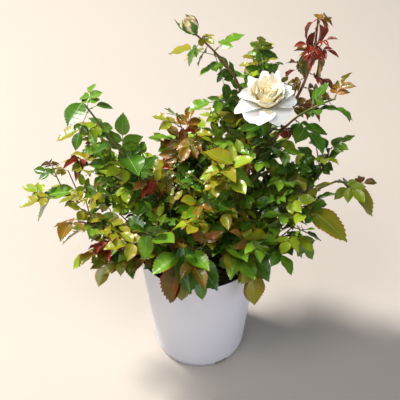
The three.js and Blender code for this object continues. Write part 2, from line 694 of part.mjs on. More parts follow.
// Growth of the whole plant
const limbs = new Map();
CANES.forEach((plan) => limbs.set(plan.name, growCane(plan)));
BOUGHS.forEach((plan) => limbs.set(plan.name, growBough(plan, limbs)));
const shoots = SHOOTS.map((habit, number) => growShoot(habit, number, limbs));
const shootNamed = new Map(shoots.map((one) => [one.name, one]));

const bloomAxis = turned(UP, direction(BLOOM.tiltHeading + 90, 0), BLOOM.tilt);
const bloom = flowerOn(shootNamed.get('leaves_bloom'), bloomAxis, BLOOM.keepOut);
const budShoot = shootNamed.get('leaves_bud');
const bud = flowerOn(budShoot, budShoot.curve.getTangent(1), BUD.keepOut);
const crown = new Crown(limbs, shoots, [bloom, bud]);

// Scene
const group = new THREE.Group();

function add(name, geometry, colour, roughness) {
  const material = new THREE.MeshStandardMaterial({ color: colour, roughness, metalness: 0 });
  const mesh = new THREE.Mesh(geometry, material);
  mesh.name = name;
  group.add(mesh);
  return mesh;
}

add('pot', potGeometry(), COLOURS.pot, 0.6);
add('potting_mix', mixGeometry(), COLOURS.mix, 1);
add('stem_base', baseGeometry(), COLOURS.bark, 0.9);
for (const limb of limbs.values()) {
  const tube = taperedTube(limb.curve, limb.footRadius, limb.tipRadius, LIMB.sides, evenShares(LIMB.steps));
  add(limb.name, tube, COLOURS.cane, 0.7);
}
for (const one of shoots) {
  add(one.name, shootGeometry(one, crown), COLOURS[one.colour], 0.45);
}
add('bloom', bloomGeometry(), COLOURS.bloom, 0.55).applyMatrix4(flowerPlacement(bloom));
add('bud', budGeometry(), COLOURS.bud, 0.55).applyMatrix4(flowerPlacement(bud));

export default group;
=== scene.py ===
"""Looks of a rose bush in its white nursery pot.

The plant grows again from the sizes of its solids, by the same seeded rule, and is carried on to finer
twigs, thorns and serrated leaflets. Sizes are millimetres until a mesh is made. A place in the crown is given
by its heading (degrees from +X towards +Y), its spread (distance from the pot's axis) and its height.
"""

import json
import logging
import math
from collections.abc import Callable, Iterable, Sequence
from dataclasses import dataclass, field, replace
from enum import Enum

import bpy
import numpy as np
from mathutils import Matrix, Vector, noise

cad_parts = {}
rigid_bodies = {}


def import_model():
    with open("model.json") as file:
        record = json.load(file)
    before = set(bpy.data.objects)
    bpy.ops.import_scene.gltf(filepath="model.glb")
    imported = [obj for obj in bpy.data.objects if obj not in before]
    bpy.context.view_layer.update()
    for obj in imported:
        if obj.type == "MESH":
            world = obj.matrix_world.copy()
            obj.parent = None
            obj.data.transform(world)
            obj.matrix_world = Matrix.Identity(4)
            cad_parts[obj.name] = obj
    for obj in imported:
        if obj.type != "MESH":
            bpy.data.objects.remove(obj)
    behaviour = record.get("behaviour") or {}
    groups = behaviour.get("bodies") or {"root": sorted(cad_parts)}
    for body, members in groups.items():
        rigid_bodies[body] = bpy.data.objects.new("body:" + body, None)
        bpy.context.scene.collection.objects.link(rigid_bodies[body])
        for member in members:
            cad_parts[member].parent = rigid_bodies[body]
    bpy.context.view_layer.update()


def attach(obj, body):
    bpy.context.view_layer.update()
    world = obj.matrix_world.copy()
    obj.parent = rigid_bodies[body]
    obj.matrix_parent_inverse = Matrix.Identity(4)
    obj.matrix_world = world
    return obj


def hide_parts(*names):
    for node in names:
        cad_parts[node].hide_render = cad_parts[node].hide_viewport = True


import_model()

LOG = logging.getLogger("rose_bush")
BODY = "root"
MM = 0.001
SEAT_GAP = 0.3
LEAF_TURN = 137.5
ASIDE = np.array([1.0, 0.0, 0.0])
UP = np.array([0.0, 0.0, 1.0])

Spot = tuple[float, float, float]
Pair = tuple[float, float]
Color = tuple[float, float, float]
Array = np.ndarray
Material = bpy.types.Material
Socket = bpy.types.NodeSocket
Relief = Callable[[float, float], float]


# Directions and places


def mix(a: float, b: float, share: float) -> float:
    """Returns the value that lies the given share of the way from a to b."""
    return a + (b - a) * share


def unit(vector: Array) -> Array:
    """Returns the vector at length one."""
    return vector / np.linalg.norm(vector)


def across(vector: Array, axis: Array) -> Array:
    """Returns the part of the vector that lies square to the axis, at length one."""
    return unit(vector - axis * (vector @ axis))


def turned(vector: Array, axis: Array, degrees: float) -> Array:
    """Turns a vector round an axis.

    Args:
        vector: What is turned.
        axis: Unit axis of the turn.
        degrees: Angle by the right-hand rule.

    Returns:
        The turned vector.
    """
    angle = math.radians(degrees)
    flat = vector * math.cos(angle) + np.cross(axis, vector) * math.sin(angle)
    return flat + axis * (axis @ vector) * (1 - math.cos(angle))


def place(spot: Spot) -> Array:
    """Returns the point at a heading, a spread and a height."""
    heading, spread, height = spot
    angle = math.radians(heading)
    return np.array([spread * math.cos(angle), spread * math.sin(angle), height])


def direction(heading: float, lift: float) -> Array:
    """Returns the unit vector at a heading and a lift above the level, both in degrees."""
    flat = math.cos(math.radians(lift))
    angle = math.radians(heading)
    return np.array([flat * math.cos(angle), flat * math.sin(angle), math.sin(math.radians(lift))])


class Dice:
    """Repeatable dice: each leaf and each try throws its own, so one leaf never changes the next."""

    MODULUS = 2147483647
    FACTOR = 16807
    START = 4211
    SHOOT_STEP = 7919
    LEAF_STEP = 104729
    TRY_STEP = 1299709

    def __init__(self, shoot: int, leaf: int = 0, attempt: int = 0) -> None:
        """Seeds the dice from the numbers of the shoot, the leaf and the try."""
        steps = shoot * self.SHOOT_STEP + leaf * self.LEAF_STEP + attempt * self.TRY_STEP
        self.state = (self.START + steps) % self.MODULUS
        self.share()
        self.share()

    def share(self) -> float:
        """Returns the next number between 0 and 1."""
        self.state = (self.state * self.FACTOR) % self.MODULUS
        return self.state / self.MODULUS

    def between(self, low: float, high: float) -> float:
        """Returns the next number between two values."""
        return mix(low, high, self.share())


@dataclass(frozen=True)
class Bend:
    """A curve with one bend, from its start towards its middle point and on to its tip."""

    start: Array
    middle: Array
    tip: Array

    def point(self, share: float) -> Array:
        """Returns the point at a share of the way."""
        rest = 1 - share
        return self.start * rest * rest + self.middle * 2 * rest * share + self.tip * share * share

    def tangent(self, share: float) -> Array:
        """Returns the direction of the curve at a share of the way."""
        return unit((self.middle - self.start) * (1 - share) + (self.tip - self.middle) * share)

    def line(self, steps: int) -> Array:
        """Returns evenly shared points along the curve."""
        return np.array([self.point(share) for share in np.linspace(0, 1, steps + 1)])

    def length(self) -> float:
        """Returns the length of the curve."""
        line = self.line(12)
        return float(np.linalg.norm(np.diff(line, axis=0), axis=1).sum())


def point_on_line(line: Array, share: float) -> Array:
    """Returns the point at a share of the steps of a line of points."""
    reach = share * (len(line) - 1)
    step = min(int(reach), len(line) - 2)
    return line[step] + (line[step + 1] - line[step]) * (reach - step)


def distances(points: Array, starts: Array, ends: Array) -> Array:
    """Measures points against straight segments.

    Args:
        points: Points, one a row.
        starts: First ends of the segments.
        ends: Last ends of the segments.

    Returns:
        The distance of each point (rows) from each segment (columns).
    """
    run = ends - starts
    offset = points[:, None, :] - starts[None, :, :]
    share = np.einsum("ijk,jk->ij", offset, run) / np.einsum("jk,jk->j", run, run)
    nearest = offset - np.clip(share, 0, 1)[:, :, None] * run[None, :, :]
    return np.linalg.norm(nearest, axis=2)


@dataclass(frozen=True)
class View:
    """The camera: its place in metres, its pitch below the level, its lens and its square picture."""

    place: Spot = (0.0011, -1.2994, 1.585)
    pitch: float = 43.1
    lens: float = 90
    sensor: float = 36
    pixels: int = 400

    def spot(self, pixel: Pair, depth: float) -> Spot:
        """Works out the place in the crown that shows at a pixel, to the nearest degree and millimetre.

        Args:
            pixel: Its column and row, from the upper left corner.
            depth: How far it lies behind the pot's axis, or in front of it where negative.

        Returns:
            Its heading, spread and height.
        """
        down = math.radians(self.pitch)
        ahead = np.array([0.0, math.cos(down), -math.sin(down)])
        upward = np.array([0.0, math.sin(down), math.cos(down)])
        focal = self.lens / self.sensor * self.pixels
        column, row = ((value - self.pixels / 2) / focal for value in pixel)
        ray = ahead + ASIDE * column - upward * row
        eye = np.array(self.place) / MM
        x, y, height = eye + ray * (depth - eye[1]) / ray[1]
        return round(math.degrees(math.atan2(y, x))), round(math.hypot(x, y)), round(height)


VIEW = View()


# Plans of the plant, with the sizes of its solids


@dataclass(frozen=True)
class LimbPlan:
    """A cane or a side bough: where it leaves, the place of its tip and its radii."""

    name: str
    parent: str
    along: float
    lift: float
    tip: Spot
    radii: Pair


class Habit(Enum):
    """Colouring of a shoot's leaves, from its oldest to its youngest."""

    DARK = "dark"
    GREEN = "green"
    OLIVE = "olive"
    BRONZE = "bronze"
    RED = "red"


class Tint(Enum):
    """Plain leaf colours that are dealt out leaf by leaf, each with its own piece."""

    DEEP = "deep"
    GREEN = "green"
    FRESH = "fresh"
    OLIVE = "olive"
    BRONZE = "bronze"
    RED = "red"


DEEP, GREEN, FRESH, OLIVE, BRONZE, RED = Tint
YOUNG_TINTS = (RED, BRONZE)
LEAF_SLOTS = {DEEP: "green_leaves", GREEN: "green_leaves", FRESH: "olive_leaves", OLIVE: "olive_leaves",
              BRONZE: "bronze_leaves", RED: "red_leaves"}


@dataclass(frozen=True)
class SinglePlan:
    """A single leaf that stands out of the crown: share of the stem, place of its tip, length and tint."""

    share: float
    tip: Spot
    length: float
    tint: Tint


@dataclass(frozen=True)
class SeenLeaf:
    """A single leaf as the view shows it: share of the stem, pixel and depth of its tip, length and tint."""

    share: float
    pixel: Pair
    depth: float
    length: float
    tint: Tint

    def plan(self) -> SinglePlan:
        """Returns the leaf's plan, with the place of its tip."""
        return SinglePlan(self.share, VIEW.spot(self.pixel, self.depth), self.length, self.tint)


@dataclass(frozen=True)
class ShootPlan:
    """A leafy shoot on the tip of its limb: place of its tip, leaves, end leaflet, first heading and droop.

    The fill says how closely fine twigs stand on it, and the spurs how closely leafy spurs stand on its limb,
    from 0 where the sky shows between the leaves.
    """

    name: str
    limb: str
    tip: Spot
    leaves: int
    leaflet: float
    first: float
    droop: float
    habit: Habit = Habit.GREEN
    fill: float = 1.0
    singles: tuple[SinglePlan, ...] = ()
    spurs: float = 1.0


OUTER_LIFT = 34.0
INNER_LIFT = 64.0


def cane(name: str, heading: float, lift: float, tip: Spot, foot: float, end: float) -> LimbPlan:
    """Returns the plan of a cane that rises from the knob at a heading and a lift."""
    return LimbPlan(name, "", heading, lift, tip, (foot, end))


def bough(name: str, parent: str, along: float, tip: Spot, foot: float, end: float) -> LimbPlan:
    """Returns the plan of a side bough that leaves its cane a share of the way along it."""
    return LimbPlan(name, parent, along, 0.0, tip, (foot, end))


def singles(*rows: tuple[float, Spot, float, Tint]) -> tuple[SinglePlan, ...]:
    """Returns the plans of single leaves."""
    return tuple(SinglePlan(*row) for row in rows)


def seen(*rows: tuple[float, Pair, float, float, Tint]) -> tuple[SinglePlan, ...]:
    """Returns the plans of single leaves that are given as the view shows them."""
    return tuple(SeenLeaf(*row).plan() for row in rows)


LIMBS = (
    cane("cane_right", -14, OUTER_LIFT, (11, 200, 368), 4.4, 2.7),
    cane("cane_back_right", 34, OUTER_LIFT, (48, 82, 318), 4.0, 2.6),
    cane("cane_back_left", 120, OUTER_LIFT, (130, 78, 296), 3.8, 2.5),
    cane("cane_tall_left", 160, OUTER_LIFT, (165, 98, 374), 4.2, 2.8),
    cane("cane_far_left", 196, OUTER_LIFT, (176, 96, 326), 4.2, 2.6),
    cane("cane_low_left", 238, OUTER_LIFT, (228, 58, 296), 3.8, 2.5),
    cane("cane_front", 276, OUTER_LIFT, (266, 44, 294), 3.8, 2.5),
    cane("cane_front_right", 312, OUTER_LIFT, (312, 54, 296), 4.0, 2.6),
    cane("cane_bud", 105, INNER_LIFT, (52, 98, 470), 4.6, 3.0),
    cane("cane_bloom", -25, INNER_LIFT, (6, 86, 390), 4.8, 3.1),
    cane("cane_red", 40, INNER_LIFT, (30, 165, 485), 4.4, 2.7),
    cane("cane_centre", 215, INNER_LIFT, (160, 30, 330), 4.2, 2.6),
    bough("bough_rear", "cane_bud", 0.62, (47, 134, 480), 2.7, 2.1),
    bough("bough_right_upper", "cane_red", 0.6, (11, 158, 522), 2.7, 2.0),
    bough("bough_right_centre", "cane_bloom", 0.4, (0, 92, 345), 2.6, 2.0),
    bough("bough_centre_light", "cane_front_right", 0.4, (-32, 36, 322), 2.8, 2.1),
    bough("bough_far_right", "cane_right", 0.84, (9, 245, 377), 2.3, 1.8),
    bough("bough_big_leaf", "cane_right", 0.36, (-8, 110, 322), 2.7, 2.1),
    bough("bough_low_right", "cane_front_right", 0.6, (-24, 92, 298), 2.5, 2.0),
    bough("bough_centre_front", "cane_front", 0.6, (284, 30, 318), 2.5, 2.0),
    bough("bough_left_mid", "cane_tall_left", 0.62, (163, 128, 366), 2.4, 1.9),
    bough("bough_centre_left", "cane_tall_left", 0.4, (176, 56, 330), 2.5, 2.0),
    bough("bough_lower_left", "cane_far_left", 0.58, (194, 104, 318), 2.5, 2.0),
    bough("bough_low_left", "cane_low_left", 0.6, (208, 94, 290), 2.4, 1.9),
    bough("bough_back_centre", "cane_back_left", 0.5, (90, 76, 326), 2.5, 2.0),
    bough("bough_back_low_right", "cane_back_right", 0.5, (20, 112, 298), 2.4, 1.9),
)

SHOOTS = (
    ShootPlan("leaves_bud", "cane_bud", (94, 75, 668), 5, 36, 175, 0.4, fill=0, singles=singles(
        (0.8, (113, 144, 594), 50, OLIVE), (0.95, (109, 72, 609), 30, DEEP), (0.85, (47, 73, 545), 30, DEEP),
    )),
    ShootPlan("leaves_bloom", "cane_bloom", (8, 112, 566), 7, 42, 215, 0.6, fill=0.8),
    ShootPlan("leaves_red_tip", "cane_red", (27, 218, 684), 7, 38, 300, 1.9, Habit.RED, 0.3, singles(
        (0.8, (26, 172, 556), 30, DEEP), (0.85, (25, 229, 560), 50, BRONZE), (0.8, (35, 222, 547), 50, GREEN),
    ), 0.5),
    ShootPlan("leaves_rear", "bough_rear", (48, 161, 607), 7, 42, 130, 0.6, Habit.OLIVE, 0.7),
    ShootPlan("leaves_right_upper", "bough_right_upper", (5, 226, 580), 5, 44, -60, 0.7, Habit.DARK, 0,
              spurs=0),
    ShootPlan("leaves_right_centre", "bough_right_centre", (0, 140, 432), 8, 50, 200, 0.6),
    ShootPlan("leaves_centre_light", "bough_centre_light", (-34, 54, 480), 8, 50, 20, 0.6, Habit.OLIVE, 1.5),
    ShootPlan("leaves_right", "cane_right", (12, 234, 448), 6, 38, 60, 0.5, fill=0.3, spurs=0.6,
              singles=singles((0.9, (27, 223, 427), 55, DEEP))),
    ShootPlan("leaves_far_right", "bough_far_right", (7, 276, 371), 3, 44, -25, 1.1, Habit.OLIVE, 0,
              singles((0.5, (1, 324, 321), 65, OLIVE), (1, (4, 242, 354), 30, FRESH)), 0),
    ShootPlan("leaves_big_leaf", "bough_big_leaf", (-10, 205, 378), 5, 62, 160, 0.7, Habit.OLIVE, 0.8,
              singles((0.85, (-21, 277, 371), 95, OLIVE))),
    ShootPlan("leaves_low_right", "bough_low_right", (-19, 184, 348), 7, 50, -60, 0.6, fill=1.2),
    ShootPlan("leaves_front_right", "cane_front_right", (-46, 132, 330), 7, 54, -100, 0.8, Habit.DARK, 1.5,
              singles((0.05, (-50, 130, 317), 70, GREEN), (0.9, (-57, 180, 252), 45, OLIVE),
                      (0.45, (-42, 169, 280), 35, DEEP))),
    ShootPlan("leaves_front", "cane_front", (256, 110, 335), 7, 56, 268, 0.8, Habit.DARK, 1.3,
              singles((1, (-96, 140, 270), 65, DEEP), (0.97, (-110, 162, 255), 70, BRONZE),
                      (0.5, (-87, 140, 254), 35, GREEN))),
    ShootPlan("leaves_centre_front", "bough_centre_front", (276, 50, 410), 7, 48, 230, 0.6, fill=1.6),
    ShootPlan("leaves_left_front", "cane_low_left", (229, 138, 366), 8, 52, 300, 0.6, fill=1.2,
              singles=singles((1, (-126, 160, 346), 45, GREEN))),
    ShootPlan("leaves_low_left", "bough_low_left", (201, 181, 310), 7, 48, 250, 0.8, Habit.BRONZE, 1.3,
              singles((0.85, (-160, 246, 282), 40, FRESH), (0.3, (-161, 211, 281), 45, DEEP))),
    ShootPlan("leaves_lower_left", "bough_lower_left", (188, 214, 344), 6, 46, 100, 0.6, Habit.BRONZE, 1.1,
              singles((0.35, (-170, 144, 293), 40, GREEN), (1, (-151, 265, 404), 55, BRONZE))),
    ShootPlan("leaves_far_left", "cane_far_left", (176, 272, 358), 6, 42, 195, 0.5, Habit.OLIVE, 1, singles(
        (0.65, (-174, 266, 332), 35, BRONZE), (0.9, (-177, 322, 371), 40, OLIVE),
        (0.95, (177, 308, 302), 60, DEEP), (0.85, (173, 293, 349), 70, GREEN),
    )),
    ShootPlan("leaves_left_mid", "bough_left_mid", (158, 226, 384), 6, 44, 120, 0.5, Habit.OLIVE, 1.2),
    ShootPlan("leaves_tall_left", "cane_tall_left", (167, 199, 548), 6, 42, 76, 0.6, fill=0, spurs=0.5,
              singles=singles((0.8, (177, 246, 495), 45, OLIVE), (0.95, (-175, 211, 497), 30, DEEP),
                              (1, (-177, 220, 550), 55, DEEP), (0.4, (-160, 108, 466), 70, DEEP))),
    ShootPlan("leaves_centre_left", "bough_centre_left", (158, 76, 400), 7, 46, 240, 0.6, Habit.BRONZE, 1.1),
    ShootPlan("leaves_centre", "cane_centre", (95, 55, 470), 7, 46, 200, 0.6, Habit.BRONZE, 1.2),
    ShootPlan("leaves_back_left", "cane_back_left", (142, 176, 322), 5, 54, 90, 0.7),
    ShootPlan("leaves_back_right", "cane_back_right", (58, 155, 395), 5, 56, 20, 0.6),
    ShootPlan("leaves_back_centre", "bough_back_centre", (92, 145, 366), 5, 56, 150, 0.6),
    ShootPlan("leaves_back_low_right", "bough_back_low_right", (22, 198, 322), 5, 54, 0, 0.7),
)


# Leaves that stand out on the dressed plant, beside the single leaves of the solids
EXTRAS = {
    "leaves_front": seen(
        (1, (191, 297), -160, 84, DEEP), (1, (166, 308), -155, 80, BRONZE),
        (0.95, (150, 273), -150, 62, GREEN), (0.95, (210, 269), -150, 60, GREEN),
        (0.6, (180, 246), -130, 36, BRONZE), (0.75, (218, 291), -145, 66, DEEP),
        (1, (181, 303), -140, 45, OLIVE),
    ),
    "leaves_left_front": seen(
        (0.9, (174, 238), -140, 64, GREEN), (0.7, (164, 254), -112, 42, DEEP),
        (0.5, (184, 222), -100, 45, FRESH), (0.6, (132, 226), -100, 50, DEEP),
    ),
    "leaves_front_right": seen(
        (0.1, (248, 262), -135, 78, GREEN), (0.5, (265, 234), -110, 64, OLIVE),
        (0.9, (256, 309), -135, 62, OLIVE), (0.9, (272, 282), -125, 44, DEEP),
        (0.85, (263, 271), -105, 60, DEEP), (0.4, (232, 272), -115, 45, OLIVE),
        (0.7, (285, 240), -90, 52, GREEN),
    ),
    "leaves_centre_front": seen(
        (0.5, (214, 211), -75, 50, FRESH), (0.6, (186, 216), -70, 50, GREEN),
        (0.9, (240, 212), -70, 50, DEEP), (0.3, (205, 232), -85, 45, GREEN),
    ),
    "leaves_centre_light": seen(
        (0.9, (254, 157), -30, 52, FRESH), (0.8, (222, 205), -50, 55, GREEN),
        (0.85, (198, 176), -35, 60, FRESH), (1, (203, 151), -20, 58, OLIVE),
        (0.95, (253, 186), -40, 50, GREEN),
    ),
    "leaves_centre": seen(
        (1, (183, 128), 45, 36, RED), (0.9, (178, 163), 30, 50, OLIVE), (1, (213, 132), 50, 36, OLIVE),
    ),
    "leaves_centre_left": seen(
        (0.9, (141, 198), -45, 44, RED), (0.95, (150, 192), -45, 40, RED),
        (0.9, (133, 190), -40, 40, BRONZE), (0.8, (157, 199), -10, 40, BRONZE),
        (0.6, (132, 214), -20, 52, DEEP), (1, (172, 196), 0, 42, OLIVE),
    ),
    "leaves_low_right": seen(
        (0.8, (308, 258), -70, 58, DEEP), (0.6, (293, 224), -70, 55, FRESH),
        (0.4, (281, 219), -70, 50, GREEN),
    ),
    "leaves_right_centre": seen(
        (0.8, (290, 197), -10, 52, BRONZE), (0.9, (277, 186), -15, 42, FRESH), (1, (300, 165), 0, 50, DEEP),
    ),
    "leaves_lower_left": seen((0.7, (89, 243), -50, 42, GREEN), (0.9, (107, 215), -30, 40, OLIVE)),
    "leaves_low_left": seen(
        (1, (97, 250), -115, 46, RED), (0.95, (108, 258), -120, 48, RED), (0.85, (119, 246), -120, 42, RED),
        (0.9, (103, 243), -115, 40, RED), (0.8, (112, 240), -115, 38, BRONZE),
    ),
    "leaves_red_tip": seen(
        (0.95, (310, 57), 95, 42, RED), (1, (301, 40), 100, 34, RED), (1, (331, 37), 100, 34, RED),
        (1, (322, 52), 90, 44, RED),
    ),
    "leaves_bud": seen(
        (0.85, (245, 34), 100, 38, GREEN), (0.9, (198, 67), 85, 30, DEEP), (0.35, (208, 112), 60, 42, DEEP),
        (0.35, (186, 110), 50, 42, GREEN),
    ),
    "leaves_rear": seen(
        (1, (273, 41), 110, 42, FRESH), (0.8, (258, 69), 100, 34, DEEP), (0.95, (279, 58), 110, 34, DEEP),
        (0.6, (225, 74), 100, 32, DEEP), (0.6, (270, 80), 100, 38, GREEN), (0.4, (292, 86), 100, 34, DEEP),
    ),
    "leaves_left_mid": seen(
        (1, (62, 166), 50, 38, RED), (1, (82, 165), 50, 36, RED), (1, (74, 180), 45, 38, RED),
        (1, (70, 158), 50, 32, RED),
    ),
    "leaves_tall_left": seen(
        (0.75, (97, 121), 50, 34, GREEN), (0.95, (115, 106), 60, 34, DEEP), (0.55, (93, 152), 45, 36, DEEP),
        (0.4, (119, 173), 20, 50, DEEP),
    ),
}


@dataclass(frozen=True)
class LeafRule:
    """How a leaf sits on its stem and spreads its leaflets, in shares of the leaflet, as in the solids."""

    turn: float = LEAF_TURN
    nodes: Pair = (0.12, 0.97)
    rise: float = 42
    upward: float = 0.3
    taper: Pair = (1.15, 0.8)
    heading_jitter: Pair = (18, 18)
    rise_jitter: Pair = (12, 6)
    roll_jitter: float = 24
    sag: Pair = (0.75, 1.25)
    reach: float = 0.9
    end_place: float = 0.97
    pair_place: float = 0.68
    pair_size: float = 0.9
    pair_spread: float = 58
    spread_jitter: float = 8
    hang: Pair = (0.05, 0.35)
    face_jitter: float = 14
    sizes: Pair = (0.88, 1.1)
    leaflet_sizes: Pair = (0.92, 1.06)
    fewest: int = 2
    tries: int = 14
    shrink: float = 0.03
    apart: float = 0.27
    samples: tuple[float, ...] = (0.2, 0.5, 0.8)
    stalk_samples: tuple[float, ...] = (0.5, 0.75, 1.0)
    half_width: float = 0.32
    fold: float = 0.1
    single_sag: float = 0.15


@dataclass(frozen=True)
class Room:
    """Room that a leaf keeps from the limbs, the rim, the ground and the edge of its shoot's space."""

    limb: float = 2.4
    rim_height: float = 269
    rim_reach: float = 124
    ground: float = 25


RULE = LeafRule()
ROOM = Room()
SOLID_MARGIN = 0.07
FINE_MARGIN = -0.4
FINE_APART = 0.2
SINGLE_APART = 0.38
FINE_PAIR = (0.36, 0.74)
SINGLE_PAIR = 0.62
SINGLE_DICE = 300
EXTRA_NUMBER = 20
FULL_LEAF = 3
LIMB_BEND = 0.42
BOUGH_BEND = 0.3


# Limbs and shoots


@dataclass(frozen=True)
class Knob:
    """The woody base that the canes rise from, on a flat cut at soil level."""

    soil: float = 237.0
    flare_radius: float = 29
    waist: float = 23
    radius: float = 24
    height: float = 22

    @property
    def centre(self) -> Array:
        """Centre of the knob's round top."""
        return np.array([0.0, 0.0, self.soil + SEAT_GAP + self.height])


KNOB = Knob()


@dataclass(frozen=True)
class Limb:
    """A grown cane or side bough."""

    name: str
    curve: Bend
    radii: Pair

    def radius(self, share: float) -> float:
        """Returns the radius at a share of the way."""
        return mix(*self.radii, share)


def limb_curve(start: Array, aim: Array, tip: Array) -> Bend:
    """Returns the curve that leaves its start along the aim and bends to its tip."""
    return Bend(start, start + aim * LIMB_BEND * np.linalg.norm(tip - start), tip)


def grow_limb(plan: LimbPlan, limbs: dict[str, Limb]) -> Limb:
    """Grows a cane from the knob, or a side bough from the flank of its cane.

    Args:
        plan: What to grow.
        limbs: The limbs that are grown already, by name.

    Returns:
        The grown limb.
    """
    tip = place(plan.tip)
    if not plan.parent:
        aim = direction(plan.along, plan.lift)
        foot = KNOB.centre + aim * (KNOB.radius + SEAT_GAP)
        return Limb(plan.name, limb_curve(foot, aim, tip), plan.radii)
    parent = limbs[plan.parent]
    centre = parent.curve.point(plan.along)
    axis = parent.curve.tangent(plan.along)
    aim = unit(axis * BOUGH_BEND + unit(tip - centre) * (1 - BOUGH_BEND))
    flank = parent.radius(plan.along) + SEAT_GAP + plan.radii[0] * (aim @ axis)
    return Limb(plan.name, limb_curve(centre + across(aim, axis) * flank, aim, tip), plan.radii)


@dataclass
class Shoot:
    """A stem that bears leaves: a shoot on its limb, or a fine twig on a shoot."""

    mass: str
    number: int
    curve: Bend
    leaves: int
    leaflet: float
    first: float
    droop: float
    habit: Habit
    radii: Pair
    margin: float | None = SOLID_MARGIN
    age: Pair = (0.0, 1.0)
    fill: float = 1.0
    spurs: float = 1.0
    singles: tuple[SinglePlan, ...] = ()


def grow_shoot(plan: ShootPlan, number: int, limbs: dict[str, Limb]) -> Shoot:
    """Grows a shoot's stem on from the tip of its limb."""
    limb = limbs[plan.limb]
    aim = limb.curve.tangent(1)
    curve = limb_curve(limb.curve.point(1) + aim * SEAT_GAP, aim, place(plan.tip))
    return Shoot(plan.name, number, curve, plan.leaves, plan.leaflet, plan.first, plan.droop, plan.habit,
                 (limb.radii[1], 1.4), fill=plan.fill, spurs=plan.spurs, singles=plan.singles)


@dataclass(frozen=True)
class Flower:
    """Where a flower sits, which way it looks, and the room that leaves keep from it."""

    seat: Array
    axis: Array
    radius: float
    below: float
    above: float

    def clear(self, points: Array) -> Array:
        """Tells for each point whether it lies outside the flower's room."""
        offset = points - self.seat
        height = offset @ self.axis
        reach = np.linalg.norm(offset - height[:, None] * self.axis, axis=1)
        return (reach > self.radius) | (height < self.below) | (height > self.above)


BLOOM_LEAN_AXIS = (10, 0)
BLOOM_LEAN = 4
BLOOM_ROOM = (66, -14, 52)
BUD_LIFT = 0.6
BUD_ROOM = (20, -4, 44)


class Crown:
    """The room in the crown: what limbs, flowers and the pot take, and how the shoots share the rest."""

    STEPS = 5

    def __init__(self, limbs: Iterable[Limb], shoots: Sequence[Shoot], flowers: Sequence[Flower]) -> None:
        """Keeps the segments of the limbs and of the shoots' stems.

        Args:
            limbs: All canes and side boughs.
            shoots: All shoots, which share the rest of the room.
            flowers: The open flower and the bud.
        """
        limbs = list(limbs)
        self.limb_steps = self.steps(limb.curve for limb in limbs)
        self.limb_room = np.repeat([limb.radii[0] + ROOM.limb for limb in limbs], self.STEPS)
        self.stem_steps = self.steps(shoot.curve for shoot in shoots)
        self.sizes = np.array([shoot.leaflet for shoot in shoots])
        self.names = [shoot.mass for shoot in shoots]
        self.flowers = flowers

    @classmethod
    def steps(cls, curves: Iterable[Bend]) -> tuple[Array, Array]:
        """Returns the starts and the ends of the straight steps of some curves."""
        lines = [curve.line(cls.STEPS) for curve in curves]
        return np.concatenate([line[:-1] for line in lines]), np.concatenate([line[1:] for line in lines])

    def allows(self, shoot: Shoot, points: Array) -> bool:
        """Tells whether all the points lie in free room in the shoot's own space.

        Args:
            shoot: The stem whose leaf asks for the room.
            points: Points, one a row.

        Returns:
            Whether every point is free.
        """
        spread = np.hypot(points[:, 0], points[:, 1])
        height = points[:, 2]
        outside = (height > ROOM.ground) & (spread > ROOM.rim_reach)
        if not ((height > ROOM.rim_height) | outside).all():
            return False
        if not all(flower.clear(points).all() for flower in self.flowers):
            return False
        if (distances(points, *self.limb_steps) <= self.limb_room).any():
            return False
        if shoot.margin is None:
            return True
        shares = distances(points, *self.stem_steps)
        shares = shares.reshape(len(points), -1, self.STEPS).min(axis=2) / self.sizes
        own = self.names.index(shoot.mass)
        others = np.delete(shares, own, axis=1)
        return bool((others > shares[:, own, None] + shoot.margin).all())


# Leaves by the growth rule


class Leaflet:
    """One leaflet: its root, the way it points, the way it faces and its length."""

    def __init__(self, root: Array, aim: Array, face: Array, length: float) -> None:
        """Squares the face to the aim and keeps the frame."""
        self.root = root
        self.aim = aim
        self.face = across(face, aim)
        self.side = np.cross(self.face, self.aim)
        self.length = length
        self.middle = root + aim * length / 2
        self.single = False

    def samples(self) -> Array:
        """Returns points on the leaflet's edges, its middle and its tip."""
        edges = []
        for forward in RULE.samples:
            for hand in (1, -1):
                spread = self.side * hand * RULE.half_width
                edges.append(self.root + self.length * (self.aim * forward + spread + self.face * RULE.fold))
        return np.array([*edges, self.middle, self.root + self.aim * self.length])


